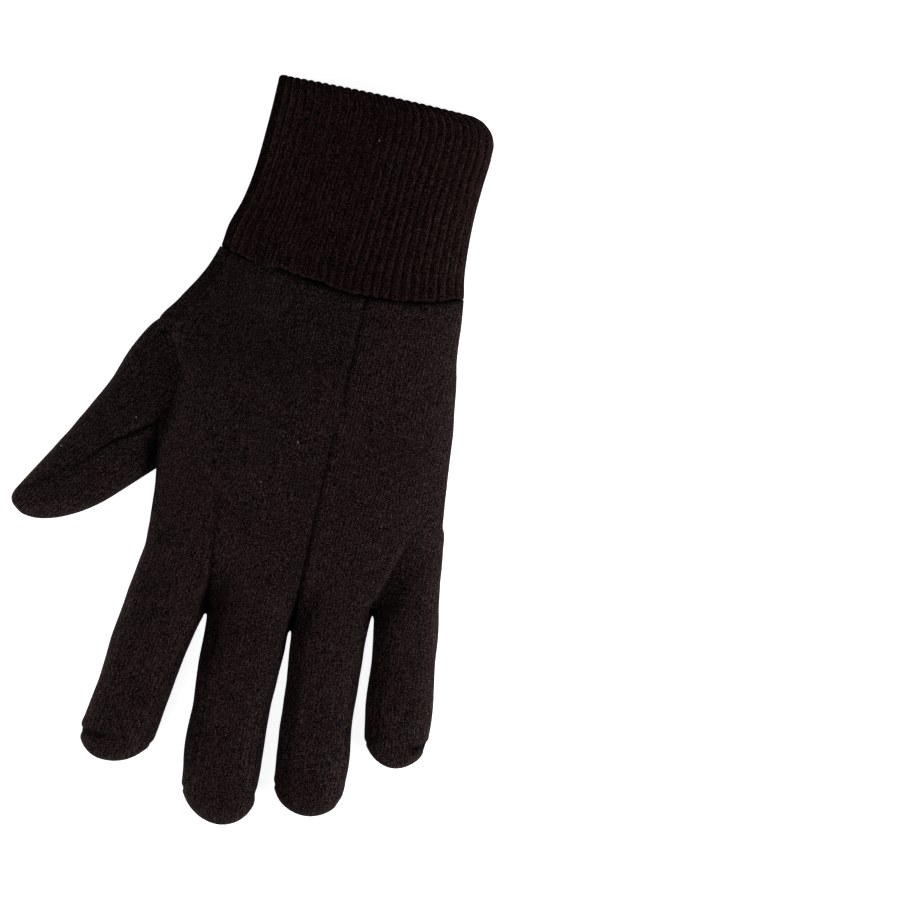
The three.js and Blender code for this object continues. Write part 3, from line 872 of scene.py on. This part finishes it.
_, body = cut(skin, skin_faces, lambda p: wrist_line(p[:, 0]) - p[:, 1] - WRIST_GAP)
panels = {}
panels["palm_panel"], upper = cut(*body, lambda p: p[:, 2] - SIDE_SEAM)
for name in STRIPS:
    upper, panels["fourchette_" + name] = cut(*upper, strip_field(name))
panels["back_panel_index"], upper = cut(*upper, right_of(SEAM_INDEX_MIDDLE))
middle, ring_little = cut(*upper, right_of(SEAM_MIDDLE_RING))
panels["back_panel_middle"] = middle
panels["back_panel_ring_little"] = ring_little
print({name: len(faces) for name, (_, faces) in panels.items()})

# %% [markdown]
# The thumb is trimmed where it meets the hand: its skin ends a hair outside the hand's.
# Then it is cut along its own seam.

# %% Trim and cut the thumb
FAR = 20.0
hand_tree = BVHTree.FromPolygons(skin.tolist(), skin_faces.tolist())


def outside_hand(points):
    """Signed distance from the hand's skin, in mm."""
    out = np.full(len(points), FAR)
    for i in np.flatnonzero(points[:, 0] > -75):
        place, way, _, distance = hand_tree.find_nearest(Vector(points[i]))
        out[i] = math.copysign(distance, (Vector(points[i]) - place).dot(way))
    return out


_, free_thumb = cut(thumb_skin, thumb_faces, lambda p: outside_hand(p) - THUMB_GAP)


def thumb_field(points):
    """Plus on the inner piece: right of the seam, or below the side seam."""
    return np.maximum(thumb_side(points), THUMB_SIDE_SEAM - points[:, 2])


panels["thumb_back"], panels["thumb_front"] = cut(*free_thumb, thumb_field)
print({name: len(panels[name][1]) for name in ("thumb_back", "thumb_front")})

# %% [markdown]
# At a seam the edges of the cloth are turned in and the thread hides in the slit, which
# falls into shade as a thin dark line. The line is finer than the corners of the skin, so
# each corner gets a number, how deep in that shade it lies, and the cloth's shader darkens
# its colour by it: painted shade, also along the folds at the little finger's root and at
# two fingertips. The painted shade is darkest at the crotches and at the wrist, and faint
# beside the index finger.

# %% How deep in painted crease shade each corner lies
# line, how dark its painted shade, width in mm, where along the line it starts to fade
PAINTED_FOLD_SHADES = [
    (LITTLE_ROOT, 0.50, 0.9, 0.95),
    (INDEX_FOLD, 1.00, 1.15, 0.12),
    (LITTLE_FOLD, 1.00, 1.50, 0.45),
]


def crease_shade_of_hand(points):
    """Painted shade: 1 right at a deep seam or fold of the hand, 0 away from it."""
    x, y, z = points.T
    first = (0.10 + 0.20 * ramp(-y, 30, 60) + 0.40 * ramp(-y, 85, 118)) * ramp(y, -127, -124)
    first = first * bell(x - SEAM_INDEX_MIDDLE(y), 0.6)
    second = (0.25 + 0.75 * ramp(-y, 35, 112)) * ramp(y, -128, -125)
    second = second * bell(x - SEAM_MIDDLE_RING(y), 0.6)
    wrist = (0.15 + 0.85 * ramp(x, -30, -6)) * bell(wrist_line(x) - y, 1.1)
    out = np.maximum(np.maximum(first, second), wrist) * ramp(z, SIDE_SEAM + 0.5, SIDE_SEAM + 3)
    for (start, end), shade_strength, width, fade in PAINTED_FOLD_SHADES:
        across, share = beside(points, start, end)
        ends = ramp(share, -0.15, 0.1) * (1 - ramp(share, fade, 1.15))
        out = np.maximum(out, shade_strength * ends * bell(across, width) * ramp(z, 0.6, 2))
    return out


def crease_shade_of_thumb(points):
    """Painted shade: 1 right at the deep part of the thumb's seam."""
    along, _ = THUMB_AXIS.read(points)
    shade_strength = 0.9 - 0.4 * ramp(along, 34, 62)
    lid = ramp(points[:, 2], THUMB_SIDE_SEAM + 1, THUMB_SIDE_SEAM + 3)
    return shade_strength * bell(thumb_side(points), 0.7) * lid


print("tuck at the crotch:", crease_shade_of_hand(np.array([(10.8, -120.0, 14.0)])).round(2))

# %% [markdown]
# Knitted cloth has a direction: columns of stitches, called wales, run along the hand
# and each finger. Every corner gets two numbers, how many wales across and how many
# courses along it lies, stored as a UV map that the stitch shader reads.

# %% Wale and course of every corner
WALE = 1.25
COURSE = 1.05
KNIT_MIDDLE = 4


def round_section(side, height, half, fold):
    """Distance across the cloth from the middle of a flattened tube, over its fold."""
    straight = half - fold
    beyond = np.clip(np.abs(side) - straight, 0, None)
    bend = fold * np.arctan2(beyond, np.abs(height - fold) + 0.3)
    return np.sign(side) * (np.minimum(np.abs(side), straight) + bend)


def knit_of_hand(points):
    """Wale and course on the hand and fingers, in mm."""
    across = round_section(points[:, 0] - KNIT_MIDDLE, points[:, 2], 50, 8)
    along = -points[:, 1]
    best = np.full(len(points), np.inf)
    root = FINGERS["index"]["along"] * HAND_LENGTH
    for finger in FINGERS.values():
        forward, side = finger["axis"].read(points)
        closer = (np.abs(side) < best) & (points[:, 1] < -root - 6)
        half = finger["width"] * HAND_WIDTH / 2
        over = round_section(side, points[:, 2], half, 6.5)
        root_across = finger["across"] * HAND_WIDTH - KNIT_MIDDLE
        across = np.where(closer, root_across + over, across)
        along = np.where(closer, finger["along"] * HAND_LENGTH + forward, along)
        best = np.where(closer, np.abs(side), best)
    return np.column_stack([across, along])


def knit_of_thumb(points):
    along, side = THUMB_AXIS.read(points)
    return np.column_stack([round_section(side, points[:, 2], 14, 5.5), along])


print("wale and course in mm:", WALE, COURSE)

# %% [markdown]
# A piece of cloth is its outer skin, the same skin moved inwards by the cloth's
# thickness, and a narrow wall round its border. The wall is shaded flat, so the outer
# face keeps its smooth shading up to the seam.

# %% Give a skin the thickness of its cloth


def thicken(points, faces, thickness):
    """A closed shell. Returns points, faces and how many faces are smooth."""
    normal = normals_of(points, faces)
    inner = points - normal * thickness
    inner[:, 2] = np.maximum(inner[:, 2], 0.35 * thickness)
    n = len(points)
    edges = edges_of(faces)
    keys = np.sort(edges, axis=1)
    _, first, count = np.unique(keys, axis=0, return_index=True, return_counts=True)
    border = edges[first[count == 1]]
    a, b = border[:, 0], border[:, 1]
    wall = np.vstack([np.column_stack([a, a + n, b + n]), np.column_stack([a, b + n, b])])
    smooth = 2 * len(faces)
    return np.vstack([points, inner]), np.vstack([faces, faces[:, ::-1] + n, wall]), smooth


def make_piece(name, points, faces, smooth, knit, crease_shade, node, material):
    """A Blender object from arrays in mm, riding on the glove and standing for its node."""
    mesh = bpy.data.meshes.new(name)
    mesh.from_pydata(((points + shift) * MM).tolist(), [], faces.tolist())
    mesh.polygons.foreach_set("use_smooth", np.arange(len(faces)) < smooth)
    uv = mesh.uv_layers.new(name="knit")
    uv.data.foreach_set("uv", knit[faces.ravel()].ravel())
    # The painted crease shade rides along as one number per corner.
    crease_shade_attribute = mesh.attributes.new("crease_shade", "FLOAT", "POINT")
    crease_shade_attribute.data.foreach_set("value", crease_shade)
    mesh.validate()
    mesh.materials.append(material)
    obj = new_object(name, mesh)
    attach(obj, "root")
    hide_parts(node)
    return obj


print("ready to make pieces")

# %% [markdown]
# The rib knit of the wrist is one closed tube: up the outside, round the folded mouth
# and down the inside. The ribs are real relief, a rounded crest with a narrow valley,
# and they wander a little, as knitted ribs do. The lower edge is rolled and stands
# proud of the hand, which casts part of the dark line at the wrist seam; the rest of that
# line is painted shade on the hand's side.

# %% Knit the wrist
RIBS = 56
PER_RIB = 8
RIB_DEPTH = 0.62
RIB_CREST = 0.5
ROLL = 1.5
HEM_PROUD = 0.65
MOUTH_SET_BACK = 0.8
HEM_SHARE = 0.015
MOUTH_SHARE = 0.972
INSIDE_RIBS = 0.45


def even_turns(row, count, squareness):
    """Turns that divide a section's outline into equal lengths."""
    fine = np.linspace(0, 1, 1601)
    side, z = ring(*row, 0.0, squareness, fine % 1.0)
    length = np.concatenate([[0], np.cumsum(np.hypot(np.diff(side), np.diff(z)))])
    return np.interp(np.arange(count) / count * length[-1], length, fine)


def rib_profile(phase):
    """0 on the crest of a rib, -1 in the valley between two."""
    return np.abs(np.cos(math.pi * phase)) ** 0.75 - 1


print("columns of corners:", RIBS * PER_RIB)

# %% [markdown]
# The wall of the tube is a list of rings: the rolled hem, the outside, the half turn of
# the mouth and the inside, where the ribs are shallower. Each ring is pushed out along
# the section's normal by the height of its ribs.

# %% The rings of the wrist


def cuff_profile():
    """Rows of (share of the length, how far in, depth of ribs) round the tube's wall."""
    rows = []
    for t in np.linspace(0, 1, 6)[:-1]:
        rows.append((t * 0.012, ROLL * (1 - math.sin(t * math.pi / 2)), 0.5 + 0.5 * t))
    for t in np.linspace(HEM_SHARE, MOUTH_SHARE, 78):
        rows.append((t, 0.0, 1.0))
    half = RIB_CLOTH / 2
    for angle in np.linspace(0, math.pi, 11)[1:-1]:
        rows.append((MOUTH_SHARE + half * math.sin(angle) / CUFF_LENGTH,
                     half * (1 - math.cos(angle)), 0.5 + 0.5 * abs(math.cos(angle))))
    for t in np.linspace(MOUTH_SHARE, 0.0, 40):
        rows.append((t, RIB_CLOTH, INSIDE_RIBS))
    return rows


def hem_edge(phase, share, z):
    """How far the lower edge wanders: by rib, and a little from rib to rib."""
    uneven = 0.28 * np.sin(phase * 1.3 + 0.7) + 0.22 * np.sin(phase * 3.7 + 2 * np.sin(phase))
    return (0.45 * rib_profile(phase) - uneven) * (1 - ramp(share, 0.0, 0.06)) * ramp(z, 5, 10)


def cuff_ring(share, inwards, ribs, phase):
    """The corners of one ring of the wrist's wall, in mm."""
    row = smooth_between(CUFF_ROWS, np.array([share]))[0]
    row = row * np.array([CUFF_WIDTH, CUFF_WIDTH, CUFF_THICKNESS])
    turns = even_turns(row, len(phase), CUFF_SQUARENESS)
    side, z = ring(*row, 0.0, CUFF_SQUARENESS, turns)
    ahead = np.column_stack([
        np.roll(side, -1) - np.roll(side, 1), np.roll(z, -1) - np.roll(z, 1)])
    ahead /= np.linalg.norm(ahead, axis=1, keepdims=True)
    wander = 0.10 * math.sin(share * 9 + 1) + 0.06 * math.sin(share * 23)
    bumps = RIB_DEPTH * ribs * rib_profile(phase + wander * np.sin(phase * 0.7))
    proud = HEM_PROUD * (1 - ramp(share, 0.0, 0.14)) * ramp(z, 5, 11) * ramp(side, -34, -8)
    rolled = inwards * (0.3 + 0.7 * ramp(z, 7, 13)) if share < HEM_SHARE else inwards
    out = RIB_CREST + bumps + proud - rolled
    x = side + out * ahead[:, 1]
    bow = wrist_line(x) * (1 - ramp(share, 0.0, 0.9))
    scallop = 0.5 * rib_profile(phase) * ramp(share, 0.95, 1.0)
    y = share * (CUFF_LENGTH - MOUTH_SET_BACK) + bow + scallop - hem_edge(phase, share, z)
    z = z - out * ahead[:, 0]
    z = z - sunk(np.column_stack([x, y])) * ramp(z, 6, 10)
    return on_floor(np.column_stack([x, y, z]))


print("rings:", len(cuff_profile()))

# %% Join the rings of the wrist


def cuff_mesh():
    """Corners, quads and knit map of the whole wrist."""
    count = RIBS * PER_RIB
    phase = np.arange(count) / PER_RIB
    points, knit = [], []
    lengthwise = 0.0
    last_share = 0.0
    for share, inwards, ribs in cuff_profile():
        lengthwise += abs(share - last_share) * CUFF_LENGTH
        last_share = share
        points.append(cuff_ring(share, inwards, ribs, phase))
        knit.append(np.column_stack([phase, np.full(count, lengthwise / COURSE)]))
    rows = len(points)
    k = np.arange(count)
    faces = []
    for row in range(rows):
        below = row * count
        above = ((row + 1) % rows) * count
        nxt = (k + 1) % count
        faces.append(np.column_stack([below + k, below + nxt, above + nxt, above + k]))
    return np.vstack(points), np.vstack(faces)[:, ::-1], np.vstack(knit)


cuff_points, cuff_faces, cuff_knit = cuff_mesh()
print("wrist faces:", len(cuff_faces), "height:", cuff_points[:, 2].max().round(1))

# %% [markdown]
# Finishes. Both cloths are spun from dyed and undyed cotton, so close up they are a
# melange: dark brown with paler fibres. Two shader groups are shared by both: one scatters
# the fibres, one draws the stitches. A third gives a few white specks of lint.

# %% Tools for shader groups


class Nodes:
    """Builds a node tree in short words. Most calls add a node and return its output."""

    def __init__(self, tree):
        self.tree = tree

    def new(self, kind, **settings):
        node = self.tree.nodes.new("ShaderNode" + kind)
        for key, value in settings.items():
            setattr(node, key, value)
        return node

    def feed(self, node, inputs):
        """Gives inputs, by name or number, a value or a link from another socket."""
        for name, value in inputs.items():
            if isinstance(value, bpy.types.NodeSocket):
                self.tree.links.new(value, node.inputs[name])
            else:
                node.inputs[name].default_value = value

    def math(self, operation, first, second=None, clamp=False):
        node = self.new("Math", operation=operation, use_clamp=clamp)
        self.feed(node, {0: first} if second is None else {0: first, 1: second})
        return node.outputs[0]

    def remap(self, value, low, high, new_low=0.0, new_high=1.0):
        """A value moved from one range to another, and kept inside it."""
        node = self.new("MapRange")
        self.feed(node, {
            "Value": value, "From Min": low, "From Max": high,
            "To Min": new_low, "To Max": new_high})
        return node.outputs["Result"]

    def noise(self, place, scale, detail, roughness):
        node = self.new("TexNoise")
        self.feed(node, {
            "Vector": place, "Scale": scale, "Detail": detail, "Roughness": roughness})
        return node.outputs["Fac"]

    def mix(self, factor, first, second, blend="MIX"):
        """A mix of two colours."""
        node = self.new("Mix", data_type="RGBA", blend_type=blend)
        self.feed(node, {"Factor": factor, "A": first, "B": second})
        return node.outputs["Result"]

    def group(self, group, **inputs):
        node = self.new("Group", node_tree=group)
        self.feed(node, inputs)
        return node.outputs


print("shader tools ready")

# %% A group with named sockets


def new_group(name, inputs, outputs):
    """A group: {input: default number, or None for a vector}, and names of outputs."""
    group = bpy.data.node_groups.new(name, "ShaderNodeTree")
    for title, default in inputs.items():
        kind = "NodeSocketVector" if default is None else "NodeSocketFloat"
        socket = group.interface.new_socket(name=title, in_out="INPUT", socket_type=kind)
        if default is not None:
            socket.default_value = default
    for title in outputs:
        group.interface.new_socket(name=title, in_out="OUTPUT", socket_type="NodeSocketFloat")
    given = group.nodes.new("NodeGroupInput").outputs
    return Nodes(group), given, group.nodes.new("NodeGroupOutput")


print("groups can be made")

# %% [markdown]
# The melange group reads a place on the glove and gives two masks, pale fibres and soft
# clouds where the dye took unevenly, and a height for the fuzzy surface. Two noises of
# different size are mixed, because single fibres and small tufts both show.

# %% Shader group: melange fibres


def make_melange():
    n, given, out = new_group(
        "melange fibres", {"Place": None, "Fineness": 1.0}, ("Fibres", "Clouds", "Height"))
    scaled = n.new("VectorMath", operation="SCALE")
    n.feed(scaled, {0: given["Place"], "Scale": given["Fineness"]})
    place = scaled.outputs[0]
    fine = n.remap(n.noise(place, 2900, 1, 0.6), 0.49, 0.64)
    tufts = n.remap(n.noise(place, 1500, 2, 0.6), 0.36, 0.70)
    n.feed(out, {
        "Fibres": n.math("MULTIPLY", fine, n.remap(tufts, 0, 1, 0.55, 1.15)),
        "Clouds": n.remap(n.noise(place, 45, 3, 0.6), 0.30, 0.70),
        "Height": n.math("ADD", n.math("MULTIPLY", fine, 0.6), tufts),
    })
    return n.tree


melange = make_melange()
print("made", melange.name)

# %% [markdown]
# The stitch group draws stockinette: columns of V shapes. Across one wale the height is
# round, and the courses are shifted by the distance from the wale's middle, which turns
# straight rows into Vs. Its gaps mask marks the low places between the wales and stitches,
# which the materials darken as painted shade. The nap of the cloth hides the stitches in
# places, so each material multiplies what the group gives by how much of it shows there.

# %% Shader group: knitted stitches


def make_stitches():
    n, given, out = new_group(
        "knitted stitches", {"Knit": None, "Slant": 1.6}, ("Height", "Gap shade", "Tone"))
    parts = n.new("SeparateXYZ")
    n.feed(parts, {0: given["Knit"]})
    wales, courses = parts.outputs["X"], parts.outputs["Y"]
    across = n.math("FRACT", wales)
    middle = n.math("ABSOLUTE", n.math("SUBTRACT", across, 0.5))
    wale = n.math("SINE", n.math("MULTIPLY", across, math.pi))
    wale = n.math("POWER", wale, 0.6)
    course = n.math("ADD", courses, n.math("MULTIPLY", middle, given["Slant"]))
    wave = n.math("SINE", n.math("MULTIPLY", course, 2 * math.pi))
    height = n.math("MULTIPLY", wale, n.remap(wave, -1, 1, 0.35, 1.0))
    # The gaps mask marks the low places between wales and stitches, where the materials paint
    # shade.
    between = n.remap(wale, 0.25, 0.85, 1.0, 0.0)
    holes = n.remap(height, 0.15, 0.60, 0.55, 0.0)
    leg = n.new("CombineXYZ")
    n.feed(leg, {
        "X": n.math("FLOOR", n.math("MULTIPLY", wales, 2.0)),
        "Y": n.math("FLOOR", n.math("ADD", course, 0.25)),
    })
    random = n.new("TexWhiteNoise", noise_dimensions="2D")
    n.feed(random, {"Vector": leg.outputs[0]})
    n.feed(out, {
        "Height": height,
        "Gap shade": n.math("MAXIMUM", between, holes),
        "Tone": random.outputs["Value"],
    })
    return n.tree


stitches = make_stitches()
print("made", stitches.name)

# %% [markdown]
# Lint: a sparse scatter of tiny pale specks, the loose white fibres that dark cotton
# always picks up. A cell texture gives one speck per cell, and only the few cells with
# the highest random number keep theirs.

# %% Shader group: specks of lint
CELLS_PER_METRE = 210
SHARE_WITH_SPECK = 0.015


def make_lint():
    n, given, out = new_group("specks of lint", {"Place": None}, ("Mask",))
    cells = n.new("TexVoronoi")
    n.feed(cells, {"Vector": given["Place"], "Scale": CELLS_PER_METRE})
    dot = n.remap(cells.outputs["Distance"], 0.02, 0.07, 1.0, 0.0)
    shade = n.new("SeparateColor")
    n.feed(shade, {0: cells.outputs["Color"]})
    rare = n.math("GREATER_THAN", shade.outputs[0], 1 - SHARE_WITH_SPECK)
    n.feed(out, {"Mask": n.math("MULTIPLY", dot, rare)})
    return n.tree


lint = make_lint()
print("made", lint.name)

# %% [markdown]
# The jersey itself: dark brown, quite matt, with a sheen from its nap that lightens it
# towards the edges. Both cloths' colour is darkened as painted shade in the gaps between
# stitches, and the jersey's also in the slits of seams and folds. The wrist is darker and
# its stitches are clearer, because rib knit has less nap.

# %% The cloth material
CLOUDED = (0.78, 0.74, 0.74, 1)
# colour of the painted shade in the gaps between the stitches
SHADE_BETWEEN_STITCHES = (0.30, 0.27, 0.27, 1)
# colour of the painted shade in the slits of seams and folds
CREASE_SHADE_COLOUR = (0.16, 0.14, 0.14, 1)
LINT = (0.40, 0.36, 0.34, 1)
BUMP_HEIGHT = 0.0003


def make_cloth(name, dark, pale, knit_units, stitch_show, nap, sheen):
    """Knitted cotton; knit_units turn the knit map into wales and courses."""
    material = bpy.data.materials.new(name)
    material.use_nodes = True
    n = Nodes(material.node_tree)
    place = n.new("TexCoord").outputs["Object"]
    knit_map = n.new("UVMap", uv_map="knit")
    scaled = n.new("VectorMath", operation="MULTIPLY")
    n.feed(scaled, {0: knit_map.outputs["UV"], 1: (*knit_units, 1)})
    fibres = n.group(melange, Place=place, Fineness=1.0)
    knit = n.group(stitches, Knit=scaled.outputs[0], Slant=1.6)
    specks = n.group(lint, Place=place)
    # Reads the painted crease shade of each corner.
    crease_shade_attribute = n.new("Attribute", attribute_name="crease_shade")

    shown = n.remap(fibres["Clouds"], 0.2, 0.9, stitch_show, stitch_show * 0.5)
    tone = n.math("MULTIPLY", n.math("POWER", knit["Tone"], 3.2), shown)
    paleness = n.math("MULTIPLY", fibres["Fibres"], 0.95)
    paleness = n.math("ADD", paleness, n.math("MULTIPLY", tone, 0.30), clamp=True)
    shade_in_gaps = n.math("MULTIPLY", knit["Gap shade"], shown)
    colour = n.mix(paleness, dark, pale)
    colour = n.mix(fibres["Clouds"], colour, CLOUDED, "MULTIPLY")
    # Painted shade: darker in the gaps between the stitches.
    colour = n.mix(shade_in_gaps, colour, SHADE_BETWEEN_STITCHES, "MULTIPLY")
    # Painted shade: darker where a seam or fold dips in.
    colour = n.mix(crease_shade_attribute.outputs["Fac"], colour, CREASE_SHADE_COLOUR, "MULTIPLY")
    colour = n.mix(specks["Mask"], colour, LINT)

    relief = n.math("MULTIPLY", knit["Height"], shown)
    fuzz = n.math("MULTIPLY", fibres["Height"], nap)
    bump = n.new("Bump")
    n.feed(bump, {
        "Strength": 1.0, "Distance": BUMP_HEIGHT, "Height": n.math("ADD", relief, fuzz)})
    n.feed(n.tree.nodes["Principled BSDF"], {
        "Base Color": colour, "Normal": bump.outputs["Normal"], "Roughness": 1.0,
        "Specular IOR Level": 0.02, "Sheen Weight": sheen, "Sheen Roughness": 0.35,
        "Sheen Tint": (0.62, 0.46, 0.42, 1)})
    return material


jersey = make_cloth(
    "brown jersey", (0.0010, 0.0005, 0.0005, 1), (0.078, 0.0515, 0.050, 1),
    (1 / WALE, 1 / COURSE), 0.85, 0.45, 0.04)
rib_knit = make_cloth(
    "brown rib knit", (0.0008, 0.0004, 0.0004, 1), (0.065, 0.0355, 0.0335, 1),
    (2.0, 1.0), 0.95, 0.35, 0.022)
print("materials:", jersey.name, rib_knit.name)

# %% [markdown]
# Now every piece is made. Each stands for the node of the same name in the frame.

# %% Make the pieces
for node, (points, faces) in panels.items():
    on_thumb = node.startswith("thumb")
    knit_of = knit_of_thumb if on_thumb else knit_of_hand
    crease_shade_of = crease_shade_of_thumb if on_thumb else crease_shade_of_hand
    closed, closed_faces, smooth = thicken(points, faces, JERSEY)
    knit = np.vstack([knit_of(points)] * 2)
    # Painted shade along the seams and folds, none on the inner face.
    crease_shade = np.concatenate([crease_shade_of(points), np.zeros(len(points))])
    make_piece(
        node + "_cloth", closed, closed_faces, smooth, knit, crease_shade, node, jersey)
make_piece(
    "knit_cuff_cloth", cuff_points, cuff_faces, len(cuff_faces), cuff_knit,
    np.zeros(len(cuff_points)), "knit_cuff", rib_knit)

# %% [markdown]
# The glove lies on a plain pale floor. The floor glows by itself, so it stays pale also
# in the narrow gaps between the fingers, where little light falls.

# %% Floor
FLOOR_REACH = 3.0
FLOOR_GLOW = 0.93
FLOOR_DROP = -0.0002

floor_mesh = bpy.data.meshes.new("floor")
floor_mesh.from_pydata(
    [(x * FLOOR_REACH, y * FLOOR_REACH, 0) for x, y in ((-1, -1), (1, -1), (1, 1), (-1, 1))],
    [], [(0, 1, 2, 3)])
floor = new_object("floor", floor_mesh)
floor.location.z = FLOOR_DROP
pale_floor = bpy.data.materials.new("pale floor")
pale_floor.use_nodes = True
floor_nodes = Nodes(pale_floor.node_tree)
floor_nodes.feed(floor_nodes.tree.nodes["Principled BSDF"], {
    "Base Color": (0.82, 0.82, 0.82, 1), "Roughness": 0.9,
    "Emission Color": (1, 1, 1, 1), "Emission Strength": FLOOR_GLOW})
floor_mesh.materials.append(pale_floor)
print("floor:", 2 * FLOOR_REACH, "m wide")

# %% [markdown]
# The light is soft and comes mostly from the right, rather low, which shows the slope of
# the back and keeps the thumb's side dark. A weaker one beyond the fingertips fills the
# left flanks of the fingers, and two small lights near the table draw the pale rims.
# Area lights are used, because their soft edges leave no hard shadow on dark cloth.

# %% Lights
LIGHT_AIM = Vector((0.02, 0.0, 0.0))
SKY_STRENGTH = 0.01
# name, place, size in metres, watts
LIGHTS = [
    ("key", (0.57, -0.18, 0.31), 0.30, 3.9),
    ("fill", (-0.32, -0.52, 0.38), 0.45, 2.0),
    ("right edge", (0.72, 0.12, 0.07), 0.25, 4.0),
    ("left edge", (-0.75, -0.08, 0.05), 0.12, 5.6),
]


def soft_light(name, place, size, power):
    """A square area light that looks at the glove."""
    data = bpy.data.lights.new(name, "AREA")
    data.size = size
    data.energy = power
    light = new_object(name, data)
    light.location = place
    light.visible_camera = False
    light.rotation_mode = "QUATERNION"
    light.rotation_quaternion = (LIGHT_AIM - Vector(place)).to_track_quat("-Z", "Y")


for light_row in LIGHTS:
    soft_light(*light_row)
world = bpy.data.worlds.new("studio")
world.use_nodes = True
sky_nodes = Nodes(world.node_tree)
sky_nodes.feed(sky_nodes.tree.nodes["Background"], {
    "Color": (1, 1, 1, 1), "Strength": SKY_STRENGTH})
bpy.context.scene.world = world
bpy.context.scene.view_settings.view_transform = "Standard"
print("lights:", [row[0] for row in LIGHTS])

# %% [markdown]
# The camera looks straight down with a long lens, turned a little, so that the glove
# leans as it does in the picture. Its height follows from the width it has to see.

# %% Camera
FRAME_WIDTH = 0.315
CAMERA_TARGET = Vector((0.0663, 0.0140, 0.008))
CAMERA_UP = Vector((-0.2164, 0.9763, 0.0))
LENS = 135
SENSOR = 36

camera_data = bpy.data.cameras.new("camera")
camera_data.lens = LENS
camera_data.sensor_width = SENSOR
camera = new_object("camera", camera_data)
distance = FRAME_WIDTH / 2 / (SENSOR / 2 / LENS)
camera.location = CAMERA_TARGET + Vector((0, 0, distance))
camera_turn = math.atan2(-CAMERA_UP.x, CAMERA_UP.y)
camera.rotation_euler = (0, 0, camera_turn)
bpy.context.scene.camera = camera
print("camera height:", round(camera.location.z, 3),
      "turn:", round(math.degrees(camera_turn), 2))
